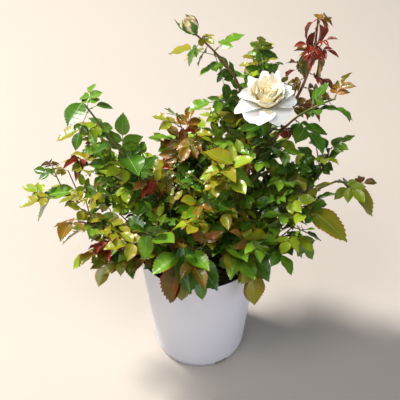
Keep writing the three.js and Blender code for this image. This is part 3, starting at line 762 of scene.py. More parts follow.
class Leaf:
    """A leaf: large leaflets as in the solids, and smaller ones that only the dressed plant has."""

    def __init__(self, start: Array, aim: Array, reach: float, size: float, node: float) -> None:
        """Keeps the stalk, the size of the end leaflet and the share of the stem."""
        self.start = start
        self.aim = aim
        self.reach = reach
        self.size = size
        self.node = node
        self.roll = 0.0
        self.tone = 0.5
        self.tint: Tint | None = None
        self.fewest = RULE.fewest
        self.leaflets: list[Leaflet] = []
        self.fine: list[Leaflet] = []

    def stalk_point(self, share: float) -> Array:
        """Returns the point at a share of the leaf stalk."""
        return self.start + self.aim * share * self.reach

    def pair(self, along: float, size: float, dice: Dice) -> list[Leaflet]:
        """Returns the two side leaflets at a share of the stalk."""
        turns = [(hand, hand * RULE.pair_spread) for hand in (1, -1)]
        return [
            self.leaflet(along, turn + dice.between(-1, 1) * RULE.spread_jitter, self.size * size, dice)
            for hand, turn in turns
        ]

    def leaflet(self, along: float, turn: float, size: float, dice: Dice) -> Leaflet:
        """Lays out one leaflet.

        Args:
            along: Share of the stalk at its root.
            turn: Turn away from the stalk, in degrees.
            size: Length before its own jitter.
            dice: Dice of this leaf.

        Returns:
            The leaflet.
        """
        stalk_face = turned(across(UP, self.aim), self.aim, self.roll)
        aim = unit(turned(self.aim, stalk_face, turn) - UP * dice.between(*RULE.hang))
        length = size * dice.between(*RULE.leaflet_sizes)
        face = turned(across(stalk_face, aim), aim, dice.between(-1, 1) * RULE.face_jitter)
        return Leaflet(self.stalk_point(along), aim, face, length)

    def trim(self, shoot: Shoot, crown: Crown, taken: list[Leaflet]) -> None:
        """Drops the leaflets that would leave the space or crowd another leaf, or all if too few are left.

        Args:
            shoot: The stem that bears the leaf.
            crown: The room in the crown.
            taken: Leaflets that keep their room.
        """
        stalk = np.array([self.stalk_point(share) for share in RULE.stalk_samples])
        if not crown.allows(shoot, stalk):
            self.leaflets = []
            self.fine = []
            return
        middles = np.array([other.middle for other in taken]).reshape(-1, 3)
        lengths = np.array([other.length for other in taken])
        if shoot.margin == SOLID_MARGIN:
            apart = np.full(len(taken), RULE.apart)
        else:
            apart = np.array([SINGLE_APART if other.single else FINE_APART for other in taken])

        def fits(leaflet: Leaflet) -> bool:
            """Tells whether a leaflet is apart from the others and in its own space."""
            gaps = np.linalg.norm(middles - leaflet.middle, axis=1)
            if (gaps <= apart * (lengths + leaflet.length)).any():
                return False
            return crown.allows(shoot, leaflet.samples())

        fitting = [leaflet for leaflet in self.leaflets if fits(leaflet)]
        self.leaflets = fitting if len(fitting) >= self.fewest else []
        self.fine = [leaflet for leaflet in self.fine if fits(leaflet)] if self.leaflets else []


class SingleLeaf(Leaf):
    """A single leaf that sags a little on its way from the stem to the place of its tip."""

    def __init__(self, shoot: Shoot, plan: SinglePlan, number: int) -> None:
        """Lays the leaf out, with a small pair behind it on a long stalk.

        Args:
            shoot: The shoot that bears it.
            plan: Its place, length and tint.
            number: Seeds the dice of its small pair.
        """
        start = point_on_line(shoot.curve.line(Crown.STEPS), plan.share)
        tip = place(plan.tip)
        root = tip - unit(tip - start) * plan.length + UP * RULE.single_sag * plan.length
        stalk = root - start
        super().__init__(start, unit(stalk), np.linalg.norm(stalk) / RULE.end_place, plan.length, plan.share)
        self.fewest = 1
        self.tint = plan.tint
        self.leaflets = [Leaflet(root, unit(tip - root), UP, float(np.linalg.norm(tip - root)))]
        self.leaflets[0].single = True
        if self.reach > plan.length / 2:
            self.fine = self.pair(RULE.pair_place, SINGLE_PAIR, Dice(SINGLE_DICE + shoot.number, number))


class CompoundLeaf(Leaf):
    """One leaf laid out by the growth rule from its node on the stem."""

    def __init__(self, shoot: Shoot, number: int, attempt: int) -> None:
        """Throws the dice for one try at a leaf, in the order that the solids do."""
        dice = Dice(shoot.number, number, attempt)
        node = mix(*RULE.nodes, number / max(shoot.leaves - 1, 1))
        axis = shoot.curve.tangent(node)
        stray = dice.between(-1, 1) * (RULE.heading_jitter[0] + RULE.heading_jitter[1] * attempt)
        heading = shoot.first + number * RULE.turn + stray
        outward = across(direction(heading, 0) + UP * RULE.upward, axis)
        rise_stray = dice.between(-1, 1) * (RULE.rise_jitter[0] + RULE.rise_jitter[1] * attempt)
        rise = math.radians(RULE.rise + rise_stray)
        size = shoot.leaflet * mix(*RULE.taper, node) * (1 - RULE.shrink * attempt)
        size *= dice.between(*RULE.sizes)
        fall = UP * shoot.droop * dice.between(*RULE.sag) / 2
        aim = unit(outward * math.cos(rise) + axis * math.sin(rise) - fall)
        start = point_on_line(shoot.curve.line(Crown.STEPS), node)
        super().__init__(start, aim, size * RULE.reach, size, node)
        self.roll = dice.between(-1, 1) * RULE.roll_jitter
        self.leaflets = [self.leaflet(RULE.end_place, 0, self.size, dice)]
        self.leaflets += self.pair(RULE.pair_place, RULE.pair_size, dice)
        self.fine = self.pair(FINE_PAIR[0], FINE_PAIR[1], dice)
        self.tone = dice.share()


def single_leaves(shoot: Shoot, plans: Iterable[SinglePlan], first: int, crown: Crown) -> list[Leaf]:
    """Grows single leaves on a shoot.

    Args:
        shoot: The shoot.
        plans: The leaves to grow.
        first: Number of the first leaf.
        crown: The room in the crown.

    Returns:
        The leaves that have room.
    """
    leaves: list[Leaf] = []
    for number, plan in enumerate(plans, first):
        leaf = SingleLeaf(shoot, plan, number)
        leaf.trim(shoot, crown, [])
        if leaf.leaflets:
            leaves.append(leaf)
    return leaves


def compound_leaves(stem: Shoot, tries: int, crown: Crown, taken: list[Leaflet]) -> list[Leaf]:
    """Grows the compound leaves of a stem, and keeps the fullest of a few tries at each.

    Args:
        stem: The shoot or twig.
        tries: Tries at each leaf.
        crown: The room in the crown.
        taken: Leaflets that keep their room, which the new ones join.

    Returns:
        The leaves that have room.
    """
    leaves: list[Leaf] = []
    for number in range(stem.leaves):
        best: CompoundLeaf | None = None
        for attempt in range(tries):
            leaf = CompoundLeaf(stem, number, attempt)
            leaf.trim(stem, crown, taken)
            if leaf.leaflets and (best is None or len(leaf.leaflets) > len(best.leaflets)):
                best = leaf
            if best is not None and len(best.leaflets) == FULL_LEAF:
                break
        if best is not None:
            leaves.append(best)
            taken += best.leaflets
    return leaves


@dataclass(frozen=True)
class TwigRule:
    """Fine twigs that carry a stem on: how closely they stand, how they lean out and what they bear."""

    spacing: float
    nodes: Pair
    lengths: Pair
    leaflets: Pair
    first_number: int
    margin: float | None
    leaves: int = 4
    rise: Pair = (20, 50)
    lift: Pair = (0.0, 0.35)
    radii: Pair = (1.1, 0.8)
    offset: float = 68
    stray: float = 25
    numbers: int = 40
    bow: float = 0.5
    droop: float = 0.7
    first_turn: float = 90
    oldest: float = 0.8
    age_span: float = 0.35

    def grow(self, curve: Bend, radius: float, parent: Shoot, fill: float) -> list[Shoot]:
        """Grows the bare twigs of a stem.

        Args:
            curve: The stem's curve.
            radius: The stem's radius.
            parent: The shoot whose leaves they bear.
            fill: How closely they stand.

        Returns:
            The twigs.
        """
        count = round(curve.length() * fill / self.spacing)
        twigs = []
        for number in range(count):
            dice = Dice(self.first_number + parent.number, number)
            node = mix(*self.nodes, (number + 0.5) / count)
            axis = curve.tangent(node)
            heading = parent.first + self.offset + number * RULE.turn + dice.between(-1, 1) * self.stray
            outward = across(direction(heading, 0) + UP * RULE.upward, axis)
            rise = math.radians(dice.between(*self.rise))
            aim = unit(outward * math.cos(rise) + axis * math.sin(rise))
            start = curve.point(node) + outward * radius * self.bow
            reach = parent.leaflet * dice.between(*self.lengths)
            tip = start + aim * reach + UP * reach * dice.between(*self.lift)
            leaflet = parent.leaflet * dice.between(*self.leaflets)
            seed = self.first_number + self.numbers * parent.number + number
            oldest = node * self.oldest
            twigs.append(Shoot(
                parent.mass, seed, Bend(start, start + aim * reach / 2, tip), self.leaves, leaflet,
                heading + self.first_turn, parent.droop * self.droop, parent.habit, self.radii, self.margin,
                (oldest, min(1.0, oldest + self.age_span)),
            ))
        return twigs


SHOOT_TWIGS = TwigRule(24, (0.03, 0.92), (0.6, 1.2), (0.58, 0.82), 400, FINE_MARGIN)
LIMB_SPURS = TwigRule(20, (0.35, 0.98), (0.35, 0.9), (0.62, 0.88), 2400, None, leaves=3, lift=(0.2, 0.9))


# Meshes


STEEP = 0.9


class Heap:
    """Points and faces of many small forms that become one piece."""

    def __init__(self) -> None:
        """Starts an empty heap."""
        self.points: list[Array] = []
        self.coords: list[Array] = []
        self.faces: list[Array] = []
        self.kinds: list[int] = []
        self.nodes: set[str] = set()
        self.count = 0

    def add(self, points: Array, faces: Array, coords: Array | None = None, node: str = "",
            kind: int = 0) -> None:
        """Adds one form.

        Args:
            points: Its points, in millimetres.
            faces: Its faces, all with three or all with four corners.
            coords: Surface coordinates of its points, if its finish reads them.
            node: The solid that the form stands for.
            kind: Number of its material.
        """
        self.points.append(points)
        self.coords.append(np.zeros((len(points), 2)) if coords is None else coords)
        self.faces.append(faces + self.count)
        self.kinds.append(kind)
        self.count += len(points)
        if node:
            self.nodes.add(node)

    def piece(self, name: str, materials: Sequence[Material], slot: str) -> bpy.types.Object:
        """Makes the piece, which rides on the body and stands for its solids.

        Args:
            name: Name of the piece.
            materials: Its materials, by the forms' kinds.
            slot: Not used.

        Returns:
            The mesh object.
        """
        loops = np.concatenate([faces.ravel() for faces in self.faces])
        sizes = np.concatenate([np.full(len(faces), faces.shape[1]) for faces in self.faces])
        forms = zip(self.faces, self.kinds, strict=True)
        kinds = np.concatenate([np.full(len(faces), kind) for faces, kind in forms])
        mesh = bpy.data.meshes.new(name)
        mesh.vertices.add(self.count)
        mesh.vertices.foreach_set("co", (np.concatenate(self.points) * MM).astype(np.float32).ravel())
        mesh.loops.add(len(loops))
        mesh.loops.foreach_set("vertex_index", loops.astype(np.int32))
        mesh.polygons.add(len(sizes))
        mesh.polygons.foreach_set("loop_start", (np.cumsum(sizes) - sizes).astype(np.int32))
        mesh.polygons.foreach_set("material_index", kinds.astype(np.int32))
        layer = mesh.uv_layers.new(name="surface")
        layer.data.foreach_set("uv", np.concatenate(self.coords)[loops].astype(np.float32).ravel())
        mesh.update(calc_edges=True)
        mesh.shade_smooth()
        for material in materials:
            mesh.materials.append(material)
        made = bpy.data.objects.new(name, mesh)
        bpy.context.scene.collection.objects.link(made)
        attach(made, BODY)
        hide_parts(*sorted(self.nodes))
        LOG.info("%s: %d points, %d triangles", name, self.count, int((sizes - 2).sum()))
        return made


def grid_faces(rows: int, columns: int, closed: bool = False) -> Array:
    """Returns the four-cornered faces of a grid of points.

    Args:
        rows: Rows of points.
        columns: Points in a row.
        closed: Whether each row closes on itself.

    Returns:
        The faces, one a row.
    """
    steps = columns if closed else columns - 1
    row, column = np.meshgrid(np.arange(rows - 1), np.arange(steps), indexing="ij")
    here = row * columns + column
    beside = row * columns + (column + 1) % columns
    return np.stack([here, beside, beside + columns, here + columns], axis=-1).reshape(-1, 4)


def grid_coords(rows: int, columns: int) -> Array:
    """Returns surface coordinates of a grid of points: across it and along it."""
    u, v = np.meshgrid(np.linspace(0, 1, columns), np.linspace(0, 1, rows))
    return np.stack([u.ravel(), v.ravel()], axis=-1)


def sweep(line: Array, radii: Array, sides: int, relief: Relief | None = None) -> Array:
    """Sweeps a round section along a line.

    Args:
        line: Centres of the rings.
        radii: Radius of each ring.
        sides: Points in a ring.
        relief: Share to add to the radius at a share of the line and an angle.

    Returns:
        The points, ring by ring.
    """
    tangents = np.gradient(line, axis=0)
    tangents /= np.linalg.norm(tangents, axis=1)[:, None]
    side = across(UP if abs(tangents[0][2]) < STEEP else ASIDE, tangents[0])
    angles = np.arange(sides) * 2 * math.pi / sides
    rings = []
    for ring, (centre, tangent, radius) in enumerate(zip(line, tangents, radii, strict=True)):
        side = across(side, tangent)
        other = np.cross(tangent, side)
        reach = np.full(sides, radius)
        if relief is not None:
            reach = reach * (1 + np.array([relief(ring / (len(line) - 1), angle) for angle in angles]))
        circle = np.outer(np.cos(angles) * reach, side) + np.outer(np.sin(angles) * reach, other)
        rings.append(centre + circle)
    return np.concatenate(rings)


def tube_coords(rings: int, sides: int) -> Array:
    """Returns surface coordinates of a tube: round it and along it."""
    along, around = np.meshgrid(np.linspace(0, 1, rings), np.arange(sides) / sides, indexing="ij")
    return np.stack([around.ravel(), along.ravel()], axis=-1)


def add_tube(heap: Heap, line: Array, radii: Array, sides: int, node: str,
             relief: Relief | None = None) -> None:
    """Adds a tube with a closed tip to a heap.

    Args:
        heap: Where it is added.
        line: Centres of its rings.
        radii: Radius of each ring.
        sides: Points in a ring.
        node: The solid that it stands for.
        relief: Share to add to the radius at a share of the line and an angle.
    """
    points = sweep(line, radii, sides, relief)
    heap.add(points, grid_faces(len(line), sides, closed=True), tube_coords(len(line), sides), node)
    last = points[-sides:]
    tip = np.concatenate([last, last.mean(axis=0)[None, :]])
    fan = np.array([[corner, (corner + 1) % sides, sides] for corner in range(sides)])
    heap.add(tip, fan, None, node)


# Blades of the leaflets


@dataclass(frozen=True)
class BladeShape:
    """Outline and relief of a leaflet's blade, in shares of its length."""

    rows: int = 25
    columns: int = 5
    width: float = 0.62
    outline: tuple[Pair, ...] = (
        (0.0, 0.04), (0.05, 0.3), (0.13, 0.62), (0.26, 0.9), (0.42, 1.0),
        (0.56, 0.95), (0.7, 0.75), (0.82, 0.46), (0.92, 0.19), (1.0, 0.0),
    )
    tooth: float = 0.05
    notch: float = 0.6
    tooth_lean: float = 0.4
    veins: float = 6
    vein_slant: float = 1.1
    vein_depth: float = 0.005
    waves: float = 2.3
    fold_share: float = 0.9
    tip_pull: float = 0.35
    rib_rows: int = 3
    rib_width: float = 0.011
    rib_height: float = 0.008
    rib_end: float = 0.25
    rib_flank: float = 0.3

    def blade(self, fold: float, arch: float, wave: float, phase: float, width: float) -> Array:
        """Shapes one blade.

        Args:
            fold: Rise of the edges above the midrib.
            arch: Fall of the tip.
            wave: Height of the waves along the edges.
            phase: Where the waves start.
            width: Full width.

        Returns:
            Points as shares of the length: forward, sideways and raised.
        """
        forward = np.linspace(0, 1, self.rows)
        places, widths = zip(*self.outline, strict=True)
        half = np.interp(forward, places, widths) * width / 2
        teeth = np.where(np.arange(self.rows) % 2 == 1, 1 + self.tooth, 1 - self.tooth * self.notch)
        u = np.linspace(-1, 1, self.columns)
        edge = np.abs(u) > 0.99
        rows = forward[:, None] + np.where(edge, 1.0, 0.0) * (teeth[:, None] - 1) * self.tooth_lean
        reach = half[:, None] * np.where(edge, teeth[:, None], 1.0)
        sideways = u * reach
        raised = fold * np.abs(sideways) / (width / 2) * self.fold_share
        raised = raised - arch * (forward[:, None] ** 2)
        swing = np.sin(2 * math.pi * self.waves * forward[:, None] + phase)
        raised = raised + wave * swing * u ** 2 * np.sign(u)
        veins = np.cos(2 * math.pi * (self.veins * forward[:, None] - self.vein_slant * np.abs(u)))
        raised = raised - self.vein_depth * veins * (1 - u ** 4) * (np.abs(u) > 0.1)
        along = rows - arch * forward[:, None] ** 3 * self.tip_pull
        return np.stack([along, sideways, raised], axis=-1)

    def rib(self, blade: Array) -> Array:
        """Returns the midrib that stands on a blade: three points a ring."""
        middle = blade[:: self.rib_rows, self.columns // 2]
        thin = np.linspace(1, self.rib_end, len(middle))[:, None]
        side = np.array([0, self.rib_width, 0])
        lift = np.array([0, 0, self.rib_height])
        low = lift * self.rib_flank
        rings = [middle - side * thin + low, middle + lift * thin, middle + side * thin + low]
        return np.stack(rings, axis=1)


BLADE = BladeShape()
SMALL_BLADE = BladeShape(rows=17, veins=4, rib_rows=4)
SMALL_LEAFLET = 26.0
LARGE_LEAFLET = 72.0
LARGE_WIDTH = 0.84
NODE_STEPS = 97
BLADE_LIFT = 0.2
WIDTHS = {RED: 0.62, BRONZE: 0.86}

PALETTES = {
    Habit.DARK: ((DEEP, 0.48), (GREEN, 0.37), (BRONZE, 0.15)),
    Habit.GREEN: ((DEEP, 0.3), (GREEN, 0.32), (FRESH, 0.16), (OLIVE, 0.14), (BRONZE, 0.08)),
    Habit.OLIVE: ((GREEN, 0.28), (DEEP, 0.1), (FRESH, 0.28), (OLIVE, 0.24), (BRONZE, 0.1)),
    Habit.BRONZE: ((DEEP, 0.2), (GREEN, 0.26), (OLIVE, 0.2), (BRONZE, 0.26), (RED, 0.08)),
    Habit.RED: ((GREEN, 0.25), (BRONZE, 0.25), (RED, 0.5)),
}
TONE_SHARE = 0.72
AGE_SHARE = 0.45
MIDDLE_AGE = 0.35


def pick_tint(habit: Habit, tone: float, age: float) -> Tint:
    """Picks a leaf's tint.

    Args:
        habit: Colouring of its shoot.
        tone: The leaf's own throw, from 0 to 1.
        age: 0 for the oldest leaves at the foot of the shoot, 1 for the youngest at its tip.

    Returns:
        The tint.
    """
    throw = max(0.0, tone * TONE_SHARE + (age - MIDDLE_AGE) * AGE_SHARE)
    total = 0.0
    for tint, share in PALETTES[habit]:
        total += share
        if throw < total:
            return tint
    return PALETTES[habit][-1][0]


@dataclass
class Foliage:
    """All leaves, leaf stalks, stems and thorns of the crown, gathered by kind."""

    crown: Crown
    blades: dict[Tint, Heap] = field(default_factory=lambda: {tint: Heap() for tint in Tint})
    ribs: Heap = field(default_factory=Heap)
    red_ribs: Heap = field(default_factory=Heap)
    stems: Heap = field(default_factory=Heap)
    red_stems: Heap = field(default_factory=Heap)
    stalk_radii: Pair = (0.95, 0.55)
    stalk_bow: float = 0.16
    stalk_mesh: tuple[int, int] = (7, 5)
    stalk_foot: Pair = (0.5, 9)
    stipule: float = 9.0
    stipule_rows: tuple[Pair, ...] = ((0.0, 0.0), (0.35, 0.16), (0.7, 0.2), (1.0, 0.42))
    full_size: float = 40
    shoot_mesh: tuple[int, int] = (20, 8)
    twig_mesh: tuple[int, int] = (8, 6)
    swelling: Pair = (0.22, 1.2)
    twig_samples: Pair = (0.6, 1.0)
    fine_tries: int = 4
    blade_dice: int = 900
    taken: list[Leaflet] = field(default_factory=list)
    leaflet_count: int = 0

    def grow(self, shoot: Shoot, limb: Limb) -> None:
        """Grows a shoot with its stem, leaves and fine twigs, and the leafy spurs on its limb."""
        self.add_stem(shoot, self.shoot_mesh)
        leaves = single_leaves(shoot, shoot.singles, 0, self.crown)
        taken = [leaflet for leaf in leaves for leaflet in leaf.leaflets]
        leaves += compound_leaves(shoot, RULE.tries, self.crown, taken)
        extras = EXTRAS.get(shoot.mass, ())
        leaves += single_leaves(replace(shoot, margin=None), extras, EXTRA_NUMBER, self.crown)
        for leaf in leaves:
            self.add_leaf(shoot, leaf)
        self.taken += [leaflet for leaf in leaves for leaflet in leaf.leaflets]
        twigs = SHOOT_TWIGS.grow(shoot.curve, shoot.radii[1], shoot, shoot.fill)
        twigs += LIMB_SPURS.grow(limb.curve, limb.radii[1], shoot, shoot.spurs)
        for twig in twigs:
            ends = np.array([twig.curve.point(share) for share in self.twig_samples])
            if not self.crown.allows(twig, ends):
                continue
            fine = compound_leaves(twig, self.fine_tries, self.crown, self.taken)
            if fine:
                self.add_stem(twig, self.twig_mesh)
            for leaf in fine:
                self.add_leaf(twig, leaf)

    def add_stem(self, shoot: Shoot, mesh: tuple[int, int]) -> None:
        """Adds a stem, swollen a little at each leaf.

        Args:
            shoot: The shoot or twig.
            mesh: Rings along it and points in a ring.
        """
        rings, sides = mesh
        height, reach = self.swelling
        shares = np.linspace(0, 1, rings)
        line = shoot.curve.line(rings - 1)
        radii = shoot.radii[0] + (shoot.radii[1] - shoot.radii[0]) * shares
        for number in range(shoot.leaves):
            node = mix(*RULE.nodes, number / max(shoot.leaves - 1, 1))
            radii = radii * (1 + height * np.exp(-((shares - node) * rings / reach) ** 2))
        young = shoot.habit in (Habit.RED, Habit.BRONZE) or shoot.mass == "leaves_bud"
        add_tube(self.red_stems if young else self.stems, line, radii, sides, shoot.mass)

    def add_leaf(self, shoot: Shoot, leaf: Leaf) -> None:
        """Adds a compound leaf: its bowed stalk, stipules and leaflets.

        Args:
            shoot: The stem that bears it.
            leaf: The leaf.
        """
        age = mix(*shoot.age, leaf.node)
        tint = leaf.tint or pick_tint(shoot.habit, leaf.tone, age)
        heap = self.red_stems if tint in YOUNG_TINTS else self.stems
        scale = min(1.0, leaf.size / self.full_size)
        rings, sides = self.stalk_mesh
        swell, shortness = self.stalk_foot
        thick, thin = self.stalk_radii
        shares = np.linspace(0, 1, rings)
        line = np.array([self.stalk_point(leaf, share) for share in shares])
        radii = mix(thick, thin, 1) * scale + (thick - thin) * scale * (1 - shares)
        radii = radii * (1 + swell * np.exp(-(shares * shortness) ** 2))
        add_tube(heap, line, radii, sides, shoot.mass)
        self.add_stipules(shoot, leaf, tint)
        for number, leaflet in enumerate(leaf.leaflets + leaf.fine):
            self.add_blade(shoot, leaf, leaflet, tint, number)

    def stalk_point(self, leaf: Leaf, share: float) -> Array:
        """Returns the point at a share of the bowed stalk."""
        return leaf.stalk_point(share) + UP * self.stalk_bow * leaf.reach * share * (1 - share)

    def add_stipules(self, shoot: Shoot, leaf: Leaf, tint: Tint) -> None:
        """Adds the two small wings at the foot of the stalk."""
        face = turned(across(UP, leaf.aim), leaf.aim, leaf.roll)
        side = np.cross(face, leaf.aim)
        length = self.stipule * min(1.0, leaf.size / self.full_size)
        for hand in (1, -1):
            points = []
            for along, spread in self.stipule_rows:
                inner = leaf.start + leaf.aim * length * along
                points += [inner, inner + side * hand * length * spread]
            faces = grid_faces(len(self.stipule_rows), 2)[:, ::-hand]
            coords = np.tile([[0.5, 0.2]], (len(points), 1))
            self.blades[tint].add(np.array(points), faces, coords, shoot.mass)

    def add_blade(self, shoot: Shoot, leaf: Leaf, leaflet: Leaflet, tint: Tint, number: int) -> None:
        """Adds one leaflet's blade and its midrib.

        Args:
            shoot: The stem that bears the leaf.
            leaf: The leaf.
            leaflet: Frame and length of the leaflet.
            tint: Its colour.
            number: Its number in the leaf.
        """
        dice = Dice(self.blade_dice + shoot.number, int(leaf.node * NODE_STEPS), number)
        shape = SMALL_BLADE if leaflet.length < SMALL_LEAFLET else BLADE
        young = tint in YOUNG_TINTS
        slim = LARGE_WIDTH if leaflet.length > LARGE_LEAFLET else 1.0
        fold = dice.between(0.1, 0.26) if young else dice.between(0.03, 0.15)
        arch = dice.between(0.1, 0.3) if young else dice.between(0.02, 0.2)
        wave = dice.between(0.006, 0.03)
        phase = dice.between(0, 6.3)
        width = shape.width * dice.between(0.9, 1.06) * WIDTHS.get(tint, 1.0) * slim
        blade = shape.blade(fold, arch, wave, phase, width)
        basis = np.stack([leaflet.aim, leaflet.side, leaflet.face]) * leaflet.length
        root = leaflet.root + UP * self.stalk_bow * leaf.reach * BLADE_LIFT
        points = root + blade.reshape(-1, 3) @ basis
        faces = grid_faces(shape.rows, shape.columns)[:, ::-1]
        self.blades[tint].add(points, faces, grid_coords(shape.rows, shape.columns), shoot.mass)
        rib = shape.rib(blade)
        ribs = self.red_ribs if young else self.ribs
        ribs.add(root + rib.reshape(-1, 3) @ basis, grid_faces(len(rib), 3)[:, ::-1], None, shoot.mass)
        self.leaflet_count += 1

    def make(self, finishes: "Finishes") -> None:
        """Makes the pieces of the foliage."""
        for tint, heap in self.blades.items():
            heap.piece(f"foliage_{tint.value}", [finishes.leaves[tint]], LEAF_SLOTS[tint])
        self.ribs.piece("leaf_ribs", [finishes.rib], "green_leaves")
        self.red_ribs.piece("young_leaf_ribs", [finishes.young_rib], "red_leaves")
        self.stems.piece("green_stems", [finishes.green_stem], "olive_leaves")
        self.red_stems.piece("red_stems", [finishes.red_stem], "bronze_leaves")
        LOG.info("leaflets: %d", self.leaflet_count)


# Woody parts


@dataclass
class Wood:
    """The woody base, the canes and the side boughs with their thorns."""

    limbs: dict[str, Limb]
    cane_sides: int = 12
    ring_spacing: float = 5.0
    thorn_spacing: float = 15.0
    thorn_length: float = 6.0
    thorn_base: float = 2.6
    thorn_hook: float = 0.45
    thorn_reach: tuple[float, ...] = (0, 0.3, 0.65, 1.0)
    thorn_taper: tuple[float, ...] = (1.0, 0.55, 0.24, 0.04)
    thorn_sides: int = 6
    thorn_dice: int = 700
    rough: float = 0.07
    foot_depth: float = 2.5
    foot_swell: float = 1.15
    base_mesh: tuple[int, int] = (56, 30)
    tip_radius: float = 0.5
    shoulder_height: float = 0.08
    shoulder_sharpness: float = 18

    def relief(self, limb: Limb, seed: float) -> Relief:
        """Makes the relief of a limb's bark: shallow ridges, and a swelling at each old node.

        Args:
            limb: The limb.
            seed: Sets where the ridges start.

        Returns:
            The relief at a share of the limb and an angle.
        """
        length = limb.curve.length()

        def raised(share: float, angle: float) -> float:
            """Returns the share that the bark stands out."""
            spot = Vector((math.cos(angle) * 1.3, math.sin(angle) * 1.3, share * length / 14 + seed))
            node = math.exp(-(((share * length / 38) % 1 - 0.5) * 7) ** 2)
            return self.rough * noise.noise(spot) + 0.12 * node

        return raised

    def add_thorns(self, heap: Heap, limb: Limb, seed: int) -> None:
        """Adds the hooked thorns along a limb."""
        length = limb.curve.length()
        count = int(length / self.thorn_spacing)
        dice = Dice(self.thorn_dice, seed)
        for number in range(count):
            share = (number + dice.between(0.2, 0.8)) / count
            centre = limb.curve.point(share)
            axis = limb.curve.tangent(share)
            outward = turned(across(UP, axis), axis, dice.between(0, 360))
            size = self.thorn_length * dice.between(0.55, 1.0) * min(1.0, limb.radius(share) / 3.0)
            start = centre + outward * limb.radius(share) * 0.8
            line = np.array([
                start + outward * size * reach - axis * size * self.thorn_hook * reach ** 2
                for reach in self.thorn_reach
            ])
            radii = self.thorn_base * size / self.thorn_length * np.array(self.thorn_taper)
            add_tube(heap, line, radii, self.thorn_sides, limb.name)

    def base(self) -> tuple[Array, Array, Array]:
        """Shapes the knob, with its root flare and a shoulder under each cane."""
        sides, rings = self.base_mesh
        foot = KNOB.soil + SEAT_GAP
        top = KNOB.centre[2] + KNOB.radius
        aims = [direction(plan.along, plan.lift) for plan in LIMBS if not plan.parent]
        points = []
        for ring in range(rings):
            share = ring / (rings - 1)
            height = foot + (top - foot) * share ** 1.05
            ball = math.sqrt(max(0.0, KNOB.radius ** 2 - (height - KNOB.centre[2]) ** 2))
            flare = KNOB.flare_radius * math.exp(-(height - foot) / 9)
            radius = max(ball if height > KNOB.centre[2] else KNOB.waist, flare)
            radius = min(radius, ball) if share > 0.97 else radius
            for side in range(sides):
                angle = side * 2 * math.pi / sides
                spot = Vector((math.cos(angle) * 2.4, math.sin(angle) * 2.4, height / 9))
                bump = 1 + 0.1 * noise.noise(spot) + 0.05 * noise.noise(spot * 3)
                lobe = 1 + 0.1 * math.cos(5 * angle + 0.6) * math.exp(-(height - foot) / 7)
                x, y = radius * math.cos(angle), radius * math.sin(angle)
                stretch = 1.0
                if radius > self.tip_radius:
                    outward = unit(np.array([x, y, height - KNOB.centre[2]]))
                    shoulder = max(max(0.0, outward @ aim) ** self.shoulder_sharpness for aim in aims)
                    stretch = bump * lobe * (1 + self.shoulder_height * shoulder)
                points.append([x * stretch, y * stretch, height])
        coords = tube_coords(rings, sides)
        return np.array(points), grid_faces(rings, sides, closed=True), coords

    def make(self, finishes: "Finishes") -> None:
        """Makes the base, the canes and the thorns."""
        knob = Heap()
        points, faces, coords = self.base()
        knob.add(points, faces, coords, "stem_base")
        knob.piece("woody_base", [finishes.bark], "bark")
        bark = Heap()
        thorns = Heap()
        for seed, limb in enumerate(self.limbs.values()):
            rings = max(8, int(limb.curve.length() / self.ring_spacing))
            line = limb.curve.line(rings - 1)
            reach = np.linspace(0, 1, rings)
            radii = limb.radii[0] + (limb.radii[1] - limb.radii[0]) * reach
            start = limb.curve.tangent(0) * -(SEAT_GAP + self.foot_depth)
            line = np.concatenate([line[:1] + start, line])
            radii = np.concatenate([radii[:1] * self.foot_swell, radii])
            add_tube(bark, line, radii, self.cane_sides, limb.name, self.relief(limb, seed * 3.7))
            self.add_thorns(thorns, limb, seed)
        bark.piece("canes_and_boughs", [finishes.cane], "cane_bark")
        thorns.piece("thorns", [finishes.thorn], "cane_bark")


# Flowers


@dataclass(frozen=True)
class Petal:
    """One petal, in the flower's own frame with its axis up. Angles are degrees, leans are from the axis."""

    heading: float
    root: Pair
    length: float
    width: float
    leans: Pair
    wrap: float
    point: float = 0.05
    ruffle: float = 0.03
    roll: float = 0.0
    twist: float = 0.0
    tone: int = 0
    ragged: float = 0.035


PETAL_OUTLINE = (
    (0.0, 0.2), (0.15, 0.44), (0.35, 0.76), (0.55, 0.96), (0.7, 1.0), (0.84, 0.97), (0.94, 0.86), (1.0, 0.72),
)
PETAL_DICE = 800
HEART_DICE = 810
SEPAL_COLUMNS = 5
SEPAL_TURN = 72


